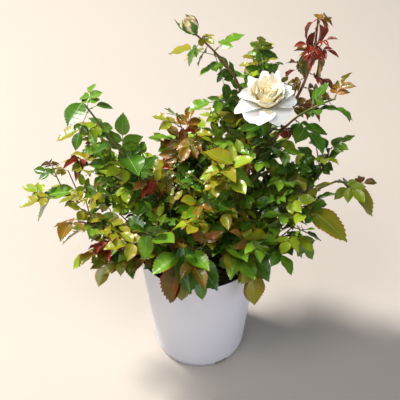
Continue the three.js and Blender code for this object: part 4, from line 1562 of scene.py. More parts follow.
def petal_points(petal: Petal, rows: int, columns: int, seed: int) -> Array:
    """Shapes a petal.

    Args:
        petal: Its sizes.
        rows: Rows of points from root to edge.
        columns: Points across.
        seed: Seeds its ruffle.

    Returns:
        Its points, in millimetres in the flower's frame.
    """
    dice = Dice(PETAL_DICE, seed)
    phases = [dice.between(0, 6.28) for wave in range(3)]
    start = math.radians(petal.leans[0])
    bend = math.radians(petal.leans[1]) - start
    places, widths = zip(*PETAL_OUTLINE, strict=True)
    outward = direction(petal.heading, 0)
    aside = np.array([-outward[1], outward[0], 0.0])
    points = []
    for v in np.linspace(0, 1, rows):
        half = float(np.interp(v, places, widths)) * petal.width / 2
        for u in np.linspace(-1, 1, columns):
            edge = 1 - 0.24 * abs(u) ** 2.6 + petal.point * max(0.0, 1 - abs(u) * 2.2)
            edge += petal.ragged * (math.sin(4.2 * u + phases[0]) + 0.6 * math.sin(9.4 * u + phases[2])) * v
            reach = v * edge
            lean = start + bend * reach
            radial = petal.root[0] + petal.length * (math.cos(start) - math.cos(lean)) / bend
            height = petal.root[1] + petal.length * (math.sin(lean) - math.sin(start)) / bend
            angle = u * half / petal.wrap
            sideways = petal.wrap * math.sin(angle)
            inward = petal.wrap * (1 - math.cos(angle))
            wave = petal.ruffle * petal.length * v ** 2 * (
                math.sin(3.1 * u + phases[1]) + 0.5 * math.sin(7.3 * u + phases[2]) * abs(u))
            inward += wave - petal.roll * petal.length * max(0.0, v - 0.6) ** 2 * (0.4 + abs(u))
            inward += petal.twist * sideways * v
            normal = -outward * math.cos(lean) + UP * math.sin(lean)
            points.append(outward * radial + UP * height + aside * sideways + normal * inward)
    return np.array(points)


@dataclass
class Blossom:
    """What the open flower and the bud share: a seat, an axis, smooth petals, and a green hip with sepals."""

    seat: Array
    axis: Array
    node: str
    rows: int = 17
    columns: int = 15
    hip_sides: int = 14
    sepals: int = 5

    def to_world(self, points: Array) -> Array:
        """Moves points from the flower's frame to its seat.

        Args:
            points: Points in the flower's frame.

        Returns:
            The points in the frame of the plant.
        """
        side = across(ASIDE, self.axis)
        other = np.cross(self.axis, side)
        return self.seat + points @ np.stack([side, other, self.axis])

    def make_petals(self, name: str, petals: Iterable[tuple[Array, int]],
                    materials: Sequence[Material]) -> None:
        """Makes the piece of the petals.

        Args:
            name: Name of the piece.
            petals: Points and material number of each petal.
            materials: The materials.
        """
        heap = Heap()
        for points, tone in petals:
            faces = grid_faces(self.rows, self.columns)
            heap.add(self.to_world(points), faces, grid_coords(self.rows, self.columns), self.node, tone)
        made = heap.piece(name, materials, f"{self.node}_petals")
        smooth = made.modifiers.new("smooth", "SUBSURF")
        smooth.levels = smooth.render_levels = 1

    def green(self, hip: Sequence[Pair], sepals: Iterable[Petal], rows: int, seed: int) -> Heap:
        """Gathers the hip and the sepals.

        Args:
            hip: Height and radius of the hip, from its foot up.
            sepals: The sepals.
            rows: Rows of points along a sepal.
            seed: Seeds their ruffle.

        Returns:
            The heap of both.
        """
        heap = Heap()
        heights, radii = zip(*hip, strict=True)
        points = sweep(np.outer(heights, UP), np.array(radii), self.hip_sides)
        heap.add(self.to_world(points), grid_faces(len(hip), self.hip_sides, closed=True), None, self.node)
        for number, sepal in enumerate(sepals):
            points = petal_points(sepal, rows, SEPAL_COLUMNS, seed + number)
            heap.add(self.to_world(points), grid_faces(rows, SEPAL_COLUMNS), None, self.node)
        return heap


@dataclass
class Bloom(Blossom):
    """The open flower: guard petals, cupped petals and a folded heart, on a green calyx."""

    node: str = "bloom"
    heart_petals: int = 13
    hip: tuple[Pair, ...] = ((0.0, 1.6), (1.5, 3.2), (4, 5.2), (7, 5.6), (9.5, 4.8), (11, 4.6))
    sepal_rows: int = 9
    sepal_dice: int = 60
    guards: tuple[Petal, ...] = (
        Petal(242, (6, 4), 50, 62, (60, 116), 60, 0.0, 0.03, 0.2),
        Petal(296, (6, 4), 48, 60, (62, 118), 60, 0.0, 0.03, 0.2),
        Petal(206, (6, 4), 52, 38, (60, 102), 24, 0.08, 0.04, 0.1),
        Petal(174, (6, 5), 44, 42, (50, 78), 24, 0.05, 0.05, 0.2),
        Petal(338, (6, 4), 46, 50, (52, 88), 30, 0.0, 0.06, 0.1, ragged=0.06),
        Petal(10, (6, 4), 46, 46, (42, 70), 30, 0.03, 0.06, ragged=0.07),
        Petal(140, (6, 4), 46, 46, (34, 58), 34, 0.05, 0.06, ragged=0.08),
        Petal(96, (6, 4), 47, 46, (26, 46), 34, 0.08, 0.06, ragged=0.08),
        Petal(58, (6, 4), 48, 42, (26, 46), 34, 0.14, 0.06, ragged=0.08),
    )
    cups: tuple[Petal, ...] = (
        Petal(268, (9, 6), 36, 52, (58, 2), 24, 0.0, 0.04, 0.5, 0, 1, 0.06),
        Petal(222, (9, 6), 38, 46, (56, 8), 24, 0.0, 0.05, 0.45, 0, 1, 0.06),
        Petal(316, (9, 6), 38, 46, (56, 8), 24, 0.0, 0.05, 0.45, 0, 1, 0.06),
        Petal(180, (8, 6), 38, 44, (46, 20), 26, 0.02, 0.05, 0.2, 0, 1),
        Petal(358, (8, 6), 38, 44, (46, 20), 26, 0.02, 0.05, 0.2, 0, 1),
        Petal(146, (8, 6), 41, 38, (34, 16), 24, 0.06, 0.06, 0.1, 0, 1, 0.07),
        Petal(108, (8, 6), 42, 38, (32, 12), 24, 0.08, 0.06, 0.1, 0, 1, 0.07),
        Petal(72, (8, 6), 44, 36, (30, 12), 24, 0.12, 0.06, 0.1, 0, 1, 0.07),
        Petal(36, (8, 6), 41, 40, (34, 16), 24, 0.06, 0.06, 0.1, 0, 1, 0.07),
        Petal(290, (7, 9), 33, 40, (38, -8), 18, 0.0, 0.05, 0.5, 0, 1, 0.06),
        Petal(238, (7, 9), 34, 40, (36, -6), 18, 0.0, 0.05, 0.5, 0, 1, 0.06),
    )

    def heart(self) -> list[Petal]:
        """Returns the folded petals of the heart, smaller and more upright towards the middle."""
        petals = []
        for number in range(self.heart_petals):
            dice = Dice(HEART_DICE, number)
            share = number / (self.heart_petals - 1)
            petals.append(Petal(
                heading=number * LEAF_TURN + dice.between(-20, 20),
                root=(mix(8, 3, share), mix(9, 13, share)),
                length=mix(36, 27, share),
                width=mix(34, 20, share),
                leans=(mix(22, -4, share), mix(20, -14, share)),
                wrap=mix(16, 6.5, share),
                point=0.04,
                ruffle=0.08,
                roll=mix(0.5, 0.2, share),
                twist=dice.between(-0.3, 0.3),
                tone=2,
                ragged=0.09,
            ))
        return petals

    def make(self, finishes: "Finishes") -> None:
        """Makes the petals, and the calyx with its sepals bent down under them."""
        shaped = []
        for seed, petal in enumerate([*self.guards, *self.cups, *self.heart()]):
            shaped.append((petal_points(petal, self.rows, self.columns, seed), petal.tone))
        self.make_petals("open_bloom", shaped, finishes.petals)
        sepals = (
            Petal(number * SEPAL_TURN + 20, (4, 8), 26, 9, (80, 175), 9, 0.3, 0.02)
            for number in range(self.sepals)
        )
        calyx = self.green(self.hip, sepals, self.sepal_rows, self.sepal_dice)
        calyx.piece("bloom_calyx", [finishes.green_stem], "olive_leaves")


@dataclass
class Bud(Blossom):
    """The opening bud: petals wrapped round each other in a loose cone, between slim sepals."""

    node: str = "bud"
    rows: int = 15
    columns: int = 17
    petals: int = 7
    foot: float = 6
    body: tuple[Pair, ...] = ((0, 4.5), (0.18, 10.2), (0.42, 12.6), (0.7, 10.6), (1.0, 6.6))
    body_height: float = 31
    hip: tuple[Pair, ...] = ((0.0, 1.5), (1.2, 3.4), (3.5, 5.4), (6.5, 5.8), (8.5, 5.4), (9.5, 5.0))
    sepal_rows: int = 13
    sepal_dice: int = 80
    lifted_sepal: int = 2

    def wrapped(self, number: int) -> Array:
        """Shapes one petal that wraps round the bud."""
        share = number / (self.petals - 1)
        heading = number * LEAF_TURN
        span = mix(250, 150, share)
        top = mix(35, 30, share)
        levels, widths = zip(*self.body, strict=True)
        points = []
        for v in np.linspace(0, 1, self.rows):
            for u in np.linspace(-1, 1, self.columns):
                edge = 1 - 0.18 * abs(u) ** 2
                height = self.foot + (top - self.foot) * v * edge
                body = np.interp((height - self.foot) / self.body_height, levels, widths)
                radius = body * mix(0.5, 1.0, share) + 1.2 * (u + 1) * share
                radius += 3.2 * share * max(0.0, v - 0.72) ** 1.5 / 0.15
                angle = math.radians(heading + u * span / 2)
                points.append([radius * math.cos(angle), radius * math.sin(angle), height])
        return np.array(points)

    def make(self, finishes: "Finishes") -> None:
        """Makes the bud's petals, hip and sepals."""
        wrapped = ((self.wrapped(number), 0) for number in range(self.petals))
        self.make_petals("opening_bud", wrapped, [finishes.bud_petal])
        sepals = []
        for number in range(self.sepals):
            end = 14 if number == self.lifted_sepal else -18
            sepals.append(Petal(number * SEPAL_TURN + 18, (6, 7), 27, 13, (52, end), 11, 0.42, 0.02))
        green = self.green(self.hip, sepals, self.sepal_rows, self.sepal_dice)
        green.piece("bud_sepals", [finishes.sepal], "green_leaves")


# Pot and potting mix


@dataclass
class Pot:
    """The moulded pot: white outside, black inside, with a rolled rim, faint creases and drain notches."""

    height: float = 260
    rim: float = 112.5
    foot: float = 87
    wall: float = 2.4
    floor: float = 3
    bead_proud: float = 1.3
    bead_height: float = 5
    foot_inset: float = 1.4
    foot_band: float = 8
    notches: int = 3
    notch_heading: float = -61
    notch_size: Spot = (14, 25, 14)
    sides: int = 160
    creases: tuple[tuple[float, ...], ...] = (
        (192, 214, 246, 150, 0.8), (197, 219, 246, 158, 0.7), (186, 204, 246, 176, 0.5),
    )
    crease_width: float = 2.6
    waviness: float = 0.45

    def radius(self, height: float) -> float:
        """Returns the wall's outer radius at a height."""
        return mix(self.foot, self.rim, height / self.height)

    def profile(self) -> list[tuple[float, float, int]]:
        """Lays out the pot's section.

        Returns:
            Radius, height and kind: 0 for the white skin, 1 for the black inside.
        """
        band, bead = self.foot_band, self.height - self.bead_height
        white = [(0.0, 0.0), (self.foot - self.foot_inset - 1.2, 0.0), (self.foot - self.foot_inset, 0.8)]
        white += [(self.radius(band) - self.foot_inset, band - 1.0), (self.radius(band) - 0.5, band + 0.2)]
        white += [(self.radius(band + 2), band + 2)]
        white += [(self.radius(height), height) for height in np.linspace(band + 6, bead - 2, 46)]
        white += [(self.radius(bead) + 0.2, bead), (self.radius(bead) + self.bead_proud, bead + 1.3)]
        white += [(self.rim + self.bead_proud, self.height - 1.0)]
        black = [(self.rim + self.bead_proud - 0.4, self.height - 0.2), (self.rim, self.height)]
        black += [(self.rim - self.wall + 0.5, self.height), (self.rim - self.wall, self.height - 0.7)]
        black += [(self.radius(height) - self.wall, height) for height in (250, 242, 236, 228, 120)]
        black += [(self.radius(self.floor) - self.wall, self.floor), (0.0, self.floor)]
        return [(*point, 0) for point in white] + [(*point, 1) for point in black]

    def crease(self, angle: float, height: float) -> float:
        """Returns how far its creases and waves raise the skin at a heading in radians and a height."""
        heading = math.degrees(angle) % 360
        spot = Vector((math.cos(angle) * 1.6, math.sin(angle) * 1.6, height / 110))
        total = self.waviness * noise.noise(spot)
        for start, end, low, high, depth in self.creases:
            share = (high - height) / (high - low)
            if 0 < share < 1:
                along = mix(end, start, share)
                off = (heading - along) / self.crease_width
                total += depth * math.exp(-off * off) * math.sin(math.pi * share)
        return total

    def make(self, finishes: "Finishes") -> None:
        """Makes the pot and cuts its drain notches."""
        profile = self.profile()
        points = []
        for radius, height, kind in profile:
            for side in range(self.sides):
                angle = side * 2 * math.pi / self.sides
                out = radius
                if kind == 0 and self.foot_band + 4 < height < self.height - 8:
                    out += self.crease(angle, height)
                points.append([out * math.cos(angle), out * math.sin(angle), height])
        heap = Heap()
        faces = grid_faces(len(profile), self.sides, closed=True)
        inner = next(row for row, entry in enumerate(profile) if entry[2] == 1)
        split = inner * self.sides
        stacked = np.array(points)
        heap.add(stacked, faces, tube_coords(len(profile), self.sides), "pot")
        made = heap.piece("nursery_pot", [finishes.pot, finishes.pot_inside], "white_pot")
        for number, polygon in enumerate(made.data.polygons):
            if number >= split:
                polygon.material_index = 1
        self.weld(made)
        for notch in range(self.notches):
            self.cut_notch(made, math.radians(self.notch_heading + notch * 360 / self.notches))

    @staticmethod
    def weld(made: bpy.types.Object) -> None:
        """Joins the points that the section has on the axis."""
        welding = made.modifiers.new("weld", "WELD")
        welding.merge_threshold = 0.00002

    def cut_notch(self, made: bpy.types.Object, heading: float) -> None:
        """Cuts one drain notch through the lower edge.

        Args:
            made: The pot.
            heading: Heading of the notch, in radians.
        """
        depth, width, height = (size * MM for size in self.notch_size)
        bpy.ops.mesh.primitive_cube_add(size=1)
        cutter = bpy.context.object
        cutter.scale = (depth, width, height)
        cutter.rotation_euler = (0, 0, heading)
        cutter.location = (self.foot * MM * math.cos(heading), self.foot * MM * math.sin(heading), 0)
        bpy.context.view_layer.update()
        cut = made.modifiers.new("notch", "BOOLEAN")
        cut.operation = "DIFFERENCE"
        cut.solver = "EXACT"
        cut.object = cutter
        with bpy.context.temp_override(object=made, active_object=made, selected_objects=[made]):
            for modifier in list(made.modifiers):
                bpy.ops.object.modifier_apply(modifier=modifier.name)
        bpy.data.objects.remove(cutter, do_unlink=True)


@dataclass
class PottingMix:
    """The fill of the pot: a rough bed with crumbs of peat and chips of bark."""

    edge_height: float = 233
    top_height: float = 237
    flat_radius: float = 34
    reach: float = 107
    crumbs: int = 900
    chips: int = 150
    bed_mesh: tuple[int, int] = (44, 96)
    lump_dice: int = 950

    def level(self, radius: float) -> float:
        """Returns the bed's height at a distance from the axis."""
        if radius < self.flat_radius:
            return self.top_height
        share = (radius - self.flat_radius) / (self.reach - self.flat_radius)
        return mix(self.top_height, self.edge_height, share)

    def bed(self) -> tuple[Array, Array, Array]:
        """Shapes the rough bed."""
        rings, sides = self.bed_mesh
        points = []
        for ring in range(rings):
            radius = self.reach * ring / (rings - 1)
            for side in range(sides):
                angle = side * 2 * math.pi / sides
                x, y = radius * math.cos(angle), radius * math.sin(angle)
                coarse = noise.noise(Vector((x / 7, y / 7, 0)))
                fine = noise.noise(Vector((x / 2.6, y / 2.6, 5)))
                bump = 1.3 * coarse + 0.7 * fine
                points.append([x, y, self.level(radius) + min(bump, 0.8) - 0.6])
        return np.array(points), grid_faces(rings, sides, closed=True), tube_coords(rings, sides)

    def lump(self, dice: Dice, size: float, flat: float) -> Array:
        """Shapes an uneven lump.

        Args:
            dice: Dice of the lumps.
            size: Its length.
            flat: Its thickness as a share.

        Returns:
            Its eight corners.
        """
        corners = [(x, y, z) for z in (-1, 1) for y in (-1, 1) for x in (-1, 1)]
        shaped = np.array([[c * dice.between(0.6, 1.0) * size / 2 for c in corner] for corner in corners])
        return shaped * np.array([1.0, dice.between(0.5, 0.9), flat])

    def make(self, finishes: "Finishes") -> None:
        """Makes the bed, the crumbs and the chips."""
        heap = Heap()
        points, faces, coords = self.bed()
        heap.add(points, faces, coords, "potting_mix")
        heap.piece("potting_bed", [finishes.soil], "potting_mix")
        self.scatter("potting_crumbs", self.crumbs, (1.6, 4.2), 0.8, finishes.crumb)
        self.scatter("potting_bark_chips", self.chips, (4, 11), 0.3, finishes.chip)

    def scatter(self, name: str, count: int, sizes: Pair, flat: float, material: Material) -> None:
        """Strews lumps over the bed.

        Args:
            name: Name of the piece.
            count: How many lumps.
            sizes: Shortest and longest lump.
            flat: Their thickness as a share.
            material: Their material.
        """
        cube = np.array([[2, 3, 1, 0], [5, 7, 6, 4], [1, 5, 4, 0], [6, 7, 3, 2], [4, 6, 2, 0], [3, 7, 5, 1]])
        lumps = Heap()
        dice = Dice(self.lump_dice, count)
        for _ in range(count):
            radius = self.reach * 0.97 * math.sqrt(dice.share())
            angle = dice.between(0, 2 * math.pi)
            lump = self.lump(dice, dice.between(*sizes), flat)
            spin = dice.between(0, 360)
            lump = np.array([turned(point, UP, spin) for point in lump])
            height = self.level(radius) + 0.3
            centre = np.array([radius * math.cos(angle), radius * math.sin(angle), height])
            lumps.add(lump + centre, cube, None, "potting_mix")
        lumps.piece(name, [material], "potting_mix")


# Finishes


def preset(node: bpy.types.Node, values: dict[str, object]) -> None:
    """Sets the inputs of a shader node by their names."""
    for label, value in values.items():
        node.inputs[label].default_value = value


def computed(tree: bpy.types.NodeTree, operation: str, *values: Socket | float) -> Socket:
    """Adds a sum.

    Args:
        tree: Where its node goes.
        operation: Its kind.
        values: Sockets or plain numbers that go in.

    Returns:
        The result.
    """
    node = tree.nodes.new("ShaderNodeMath")
    node.operation = operation
    for number, value in enumerate(values):
        if isinstance(value, Socket):
            tree.links.new(value, node.inputs[number])
        else:
            node.inputs[number].default_value = value
    return node.outputs[0]


def blended(tree: bpy.types.NodeTree, share: Socket, first: Socket, second: Socket | Color) -> Socket:
    """Blends two colours.

    Args:
        tree: Where the node goes.
        share: Share of the second colour.
        first: The first colour.
        second: The second colour, a socket or a plain one.

    Returns:
        The blend.
    """
    blend = tree.nodes.new("ShaderNodeMix")
    blend.data_type = "RGBA"
    tree.links.new(share, blend.inputs["Factor"])
    tree.links.new(first, blend.inputs["A"])
    if isinstance(second, Socket):
        tree.links.new(second, blend.inputs["B"])
    else:
        blend.inputs["B"].default_value = (*second, 1)
    return blend.outputs["Result"]


class Effects:
    """Shader node groups that several finishes share."""

    def __init__(self) -> None:
        """Builds the groups once."""
        self.mottle = self.build_mottle()
        self.grain = self.build_grain()

    @staticmethod
    def new_group(name: str, inputs: dict[str, tuple[str, object]],
                  outputs: dict[str, str]) -> bpy.types.NodeTree:
        """Starts a group with named inputs and outputs.

        Args:
            name: Name of the group.
            inputs: Socket type and default by input name.
            outputs: Socket type by output name.

        Returns:
            The node group.
        """
        group = bpy.data.node_groups.new(name, "ShaderNodeTree")
        for label, (kind, default) in inputs.items():
            socket = group.interface.new_socket(label, in_out="INPUT", socket_type=kind)
            socket.default_value = default
        for label, kind in outputs.items():
            group.interface.new_socket(label, in_out="OUTPUT", socket_type=kind)
        return group

    def build_mottle(self) -> bpy.types.NodeTree:
        """Builds cloudy colour and roughness variation."""
        group = self.new_group(
            "cloudy_mottle",
            {
                "Color": ("NodeSocketColor", (0.5, 0.5, 0.5, 1)),
                "Shade": ("NodeSocketColor", (0.3, 0.3, 0.3, 1)),
                "Scale": ("NodeSocketFloat", 60.0),
                "Amount": ("NodeSocketFloat", 0.3),
                "Roughness": ("NodeSocketFloat", 0.4),
                "Roughness Spread": ("NodeSocketFloat", 0.1),
            },
            {"Color": "NodeSocketColor", "Roughness": "NodeSocketFloat"},
        )
        nodes, links = group.nodes, group.links
        source = nodes.new("NodeGroupInput")
        sink = nodes.new("NodeGroupOutput")
        where = nodes.new("ShaderNodeTexCoord")
        clouds = nodes.new("ShaderNodeTexNoise")
        preset(clouds, {"Detail": 4})
        links.new(where.outputs["Object"], clouds.inputs["Vector"])
        links.new(source.outputs["Scale"], clouds.inputs["Scale"])
        spread = nodes.new("ShaderNodeMapRange")
        preset(spread, {"From Min": 0.35, "From Max": 0.65})
        links.new(clouds.outputs["Fac"], spread.inputs["Value"])
        mask = spread.outputs["Result"]
        given = source.outputs
        amount = computed(group, "MULTIPLY", mask, given["Amount"])
        rough = computed(group, "MULTIPLY_ADD", mask, given["Roughness Spread"], given["Roughness"])
        links.new(blended(group, amount, given["Color"], given["Shade"]), sink.inputs["Color"])
        links.new(rough, sink.inputs["Roughness"])
        return group

    def build_grain(self) -> bpy.types.NodeTree:
        """Builds a fine height for bumps."""
        group = self.new_group(
            "fine_grain", {"Scale": ("NodeSocketFloat", 400.0)}, {"Height": "NodeSocketFloat"},
        )
        nodes, links = group.nodes, group.links
        source = nodes.new("NodeGroupInput")
        sink = nodes.new("NodeGroupOutput")
        where = nodes.new("ShaderNodeTexCoord")
        grains = nodes.new("ShaderNodeTexNoise")
        preset(grains, {"Detail": 3})
        links.new(where.outputs["Object"], grains.inputs["Vector"])
        links.new(source.outputs["Scale"], grains.inputs["Scale"])
        links.new(grains.outputs["Fac"], sink.inputs["Height"])
        return group


BUMP_HEIGHT = 0.0005
SUBSURFACE_DEPTH = 0.003


@dataclass(frozen=True)
class Finish:
    """A finish: its colours, gloss, mottle and fine relief."""

    name: str
    color: Color
    shade: Color
    roughness: float
    spread: float = 0.1
    mottle: float = 0.4
    scale: float = 40.0
    grain: float = 500.0
    relief: float = 0.1
    sheen: float = 0.0
    subsurface: float = 0.0
    specular: float = 0.5
    underside: Color | None = None
    edge: Color | None = None
    edge_span: Pair = (0.1, 0.75)
    edge_axis: str = "Y"
    edge_fold: float = 2.0

    def build(self, effects: Effects) -> Material:
        """Builds the material.

        Args:
            effects: The shared node groups.

        Returns:
            The material.
        """
        material = bpy.data.materials.new(self.name)
        material.use_nodes = True
        tree = material.node_tree
        surface = tree.nodes["Principled BSDF"]
        mottle = tree.nodes.new("ShaderNodeGroup")
        mottle.node_tree = effects.mottle
        preset(mottle, {
            "Color": (*self.color, 1), "Shade": (*self.shade, 1), "Scale": self.scale, "Amount": self.mottle,
            "Roughness": self.roughness, "Roughness Spread": self.spread,
        })
        color = mottle.outputs["Color"]
        if self.edge is not None:
            color = self.towards_edge(tree, color)
        if self.underside is not None:
            back = tree.nodes.new("ShaderNodeNewGeometry").outputs["Backfacing"]
            color = blended(tree, back, color, self.underside)
        tree.links.new(color, surface.inputs["Base Color"])
        tree.links.new(mottle.outputs["Roughness"], surface.inputs["Roughness"])
        grain = tree.nodes.new("ShaderNodeGroup")
        grain.node_tree = effects.grain
        preset(grain, {"Scale": self.grain})
        bump = tree.nodes.new("ShaderNodeBump")
        preset(bump, {"Strength": self.relief, "Distance": BUMP_HEIGHT})
        tree.links.new(grain.outputs["Height"], bump.inputs["Height"])
        tree.links.new(bump.outputs["Normal"], surface.inputs["Normal"])
        preset(surface, {
            "Sheen Weight": self.sheen, "Subsurface Weight": self.subsurface,
            "Subsurface Scale": SUBSURFACE_DEPTH, "Specular IOR Level": self.specular,
        })
        return material

    def towards_edge(self, tree: bpy.types.NodeTree, color: Socket) -> Socket:
        """Blends the colour to the edge colour along the surface coordinates.

        Args:
            tree: Where the nodes go.
            color: The colour away from the edge.

        Returns:
            The blended colour.
        """
        coords = tree.nodes.new("ShaderNodeUVMap")
        split = tree.nodes.new("ShaderNodeSeparateXYZ")
        tree.links.new(coords.outputs["UV"], split.inputs["Vector"])
        folded = computed(tree, "PINGPONG", split.outputs[self.edge_axis], self.edge_fold)
        ramp = tree.nodes.new("ShaderNodeMapRange")
        ramp.interpolation_type = "SMOOTHSTEP"
        preset(ramp, {"From Min": self.edge_span[0], "From Max": self.edge_span[1]})
        tree.links.new(folded, ramp.inputs["Value"])
        return blended(tree, ramp.outputs["Result"], color, self.edge)


def leaf_finish(tint: Tint, roughness: float, color: Color, shade: Color, underside: Color,
                margin: Color | None = None, mottle: float = 0.6) -> Finish:
    """Returns the finish of one tint of leaf.

    Args:
        tint: The tint.
        roughness: Roughness of its gloss.
        color: Main colour of the upper side.
        shade: Second colour of its clouds.
        underside: Colour of the lower side.
        margin: Colour of the toothed margin, where it differs.
        mottle: Strength of the clouds.

    Returns:
        The finish.
    """
    return Finish(f"{tint.value}_leaf", color, shade, roughness, 0.08, mottle, 30, 900, 0.06, specular=0.42,
                  underside=underside, edge=margin, edge_axis="X", edge_fold=0.5, edge_span=(0.11, 0.0))


LEAF_FINISHES = (
    leaf_finish(DEEP, 0.23, (0.03, 0.1, 0.005), (0.07, 0.15, 0.008), (0.09, 0.16, 0.04)),
    leaf_finish(GREEN, 0.25, (0.07, 0.19, 0.007), (0.14, 0.25, 0.012), (0.15, 0.24, 0.05),
                (0.15, 0.13, 0.006)),
    leaf_finish(FRESH, 0.27, (0.17, 0.27, 0.006), (0.27, 0.33, 0.012), (0.25, 0.33, 0.06),
                (0.3, 0.21, 0.01)),
    leaf_finish(OLIVE, 0.27, (0.15, 0.19, 0.005), (0.28, 0.2, 0.008), (0.25, 0.26, 0.06),
                (0.32, 0.12, 0.008)),
    leaf_finish(BRONZE, 0.25, (0.09, 0.1, 0.005), (0.26, 0.08, 0.006), (0.23, 0.13, 0.04),
                (0.3, 0.035, 0.006), mottle=0.75),
    leaf_finish(RED, 0.25, (0.14, 0.012, 0.007), (0.28, 0.032, 0.008), (0.28, 0.05, 0.03)),
)


class Finishes:
    """All materials of the plant and its pot."""

    def __init__(self) -> None:
        """Builds each material once."""
        effects = Effects()

        def made(*values: object, **named: object) -> Material:
            """Builds one finish."""
            return Finish(*values, **named).build(effects)

        def petal(name: str, color: Color, shade: Color, edge: Color, span: Pair = (0.1, 0.75),
                  depth: float = 0.2) -> Material:
            """Builds the soft finish of a petal, with its edge's colour and how deep the light goes in."""
            return made(name, color, shade, 0.5, 0.1, 0.5, 40, 700, 0.05, edge=edge, edge_span=span,
                        sheen=0.1, subsurface=depth, specular=0.3)

        self.leaves = {tint: finish.build(effects) for tint, finish in zip(Tint, LEAF_FINISHES, strict=True)}
        self.rib = made("pale_rib", (0.2, 0.32, 0.08), (0.25, 0.36, 0.12), 0.4)
        self.young_rib = made("young_rib", (0.36, 0.2, 0.08), (0.4, 0.26, 0.1), 0.4)
        self.green_stem = made("green_stem", (0.09, 0.12, 0.025), (0.15, 0.085, 0.03), 0.4, 0.1, 0.7, 45, 700,
                               0.15)
        self.red_stem = made("red_stem", (0.2, 0.07, 0.035), (0.26, 0.15, 0.06), 0.38, 0.1, 0.6, 45, 700,
                             0.15)
        self.cane = made("cane_bark", (0.13, 0.12, 0.045), (0.2, 0.12, 0.07), 0.5, 0.15, 0.8, 50, 500, 0.5)
        self.thorn = made("thorn", (0.3, 0.13, 0.06), (0.36, 0.22, 0.1), 0.4)
        self.bark = made("old_bark", (0.11, 0.07, 0.045), (0.22, 0.16, 0.11), 0.8, 0.1, 0.9, 60, 300, 1.0)
        self.sepal = made("sepal", (0.05, 0.16, 0.015), (0.16, 0.24, 0.03), 0.42, 0.1, 0.5, 60,
                          underside=(0.2, 0.28, 0.12))
        self.petals = [
            petal("guard_petal", (0.78, 0.76, 0.62), (0.8, 0.78, 0.68), (0.84, 0.84, 0.82)),
            petal("cup_petal", (0.88, 0.72, 0.34), (0.88, 0.78, 0.46), (0.89, 0.85, 0.68), (0.3, 1.0)),
            petal("heart_petal", (0.88, 0.71, 0.32), (0.88, 0.77, 0.46), (0.89, 0.83, 0.62), (0.2, 1.0), 0.3),
        ]
        self.bud_petal = petal("bud_petal", (0.76, 0.74, 0.3), (0.82, 0.76, 0.42), (0.87, 0.78, 0.56))
        # The bluish tint in both pot colours is painted shade: it stands in for blue skylight on the shaded
        # side, and the plastic itself is plain white.
        self.pot = made("white_plastic", (0.81, 0.82, 0.92), (0.75, 0.76, 0.87), 0.36, 0.08, 0.25, 9, 250,
                        0.12)
        self.pot_inside = made("black_plastic", (0.012, 0.012, 0.014), (0.03, 0.03, 0.032), 0.3, 0.1, 0.4, 30,
                               250, 0.1)
        self.soil = made("peat", (0.02, 0.013, 0.009), (0.05, 0.032, 0.02), 0.9, 0.05, 0.8, 90, 600, 1.0)
        self.crumb = made("peat_crumb", (0.035, 0.022, 0.014), (0.07, 0.045, 0.028), 0.9, 0.05, 0.8, 90)
        self.chip = made("bark_chip", (0.09, 0.05, 0.028), (0.16, 0.09, 0.05), 0.85, 0.05, 0.8, 90, 400, 0.6)
        self.floor = made("pale_floor", (0.45, 0.41, 0.37), (0.425, 0.385, 0.35), 0.8, 0.05, 0.3, 3, 200,
                          0.05)


# Stage


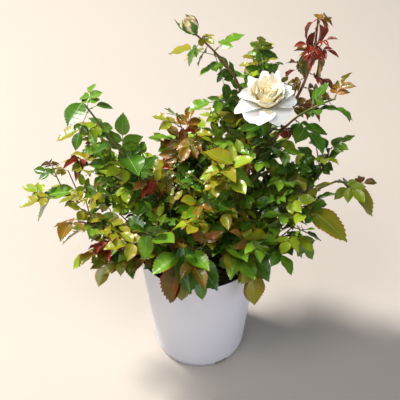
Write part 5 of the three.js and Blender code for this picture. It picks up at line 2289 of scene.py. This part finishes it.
@dataclass
class Studio:
    """Pale floor, soft lights and the camera, in metres."""

    floor_size: float = 12
    floor_drop: float = 0.0005
    look_height: float = 0.35
    key: tuple[Spot, float, float] = ((-2.3, 1.24, 3.62), 0.8, 365)
    fill: tuple[Spot, float, float] = ((1.6, -1.8, 1.6), 2.0, 26)
    top: tuple[Spot, float, float] = ((-0.6, -0.9, 2.6), 1.0, 30)
    sky: Color = (0.86, 0.9, 1.0)
    sky_strength: float = 0.16

    def light(self, name: str, values: tuple[Spot, float, float], color: Color) -> None:
        """Adds a square soft light that looks at the middle of the plant."""
        where, size, power = values
        lamp = bpy.data.lights.new(name, "AREA")
        lamp.size = size
        lamp.energy = power
        lamp.color = color
        made = bpy.data.objects.new(name, lamp)
        made.location = where
        look = Vector((0, 0, self.look_height)) - Vector(where)
        made.rotation_euler = look.to_track_quat("-Z", "Y").to_euler()
        bpy.context.scene.collection.objects.link(made)

    def make(self, finishes: Finishes) -> None:
        """Makes the floor, the lights, the sky and the camera."""
        bpy.ops.mesh.primitive_plane_add(size=self.floor_size, location=(0, 0, -self.floor_drop))
        floor = bpy.context.object
        floor.name = "floor"
        floor.data.materials.append(finishes.floor)
        self.light("key_light", self.key, (1.0, 0.96, 0.9))
        self.light("fill_light", self.fill, (0.92, 0.95, 1.0))
        self.light("top_light", self.top, (1.0, 0.99, 0.97))
        world = bpy.data.worlds.new("sky")
        world.use_nodes = True
        background = world.node_tree.nodes["Background"]
        background.inputs["Color"].default_value = (*self.sky, 1)
        background.inputs["Strength"].default_value = self.sky_strength
        bpy.context.scene.world = world
        bpy.context.scene.view_settings.view_transform = "Standard"
        data = bpy.data.cameras.new("camera")
        data.lens = VIEW.lens
        data.sensor_width = VIEW.sensor
        camera = bpy.data.objects.new("camera", data)
        camera.location = VIEW.place
        camera.rotation_euler = (math.radians(90 - VIEW.pitch), 0, 0)
        bpy.context.scene.collection.objects.link(camera)
        bpy.context.scene.camera = camera


def main() -> None:
    """Grows and dresses the rose bush, piece by piece."""
    logging.basicConfig(level=logging.INFO, format="%(message)s")
    finishes = Finishes()
    limbs: dict[str, Limb] = {}
    for plan in LIMBS:
        limbs[plan.name] = grow_limb(plan, limbs)
    shoots = [grow_shoot(plan, number, limbs) for number, plan in enumerate(SHOOTS)]
    named = {shoot.mass: shoot for shoot in shoots}
    bloom_axis = turned(UP, direction(*BLOOM_LEAN_AXIS), BLOOM_LEAN)
    bloom_seat = named["leaves_bloom"].curve.point(1) + bloom_axis * SEAT_GAP
    stem_axis = named["leaves_bud"].curve.tangent(1)
    bud_seat = named["leaves_bud"].curve.point(1) + stem_axis * SEAT_GAP
    bud_axis = unit(stem_axis + UP * BUD_LIFT)
    flowers = [Flower(bloom_seat, bloom_axis, *BLOOM_ROOM), Flower(bud_seat, bud_axis, *BUD_ROOM)]
    crown = Crown(limbs.values(), shoots, flowers)
    foliage = Foliage(crown)
    for plan, shoot in zip(SHOOTS, shoots, strict=True):
        foliage.grow(shoot, limbs[plan.limb])
    foliage.make(finishes)
    Wood(limbs).make(finishes)
    Bloom(bloom_seat, bloom_axis).make(finishes)
    Bud(bud_seat, bud_axis).make(finishes)
    Pot().make(finishes)
    PottingMix().make(finishes)
    Studio().make(finishes)


if __name__ == "__main__":
    main()
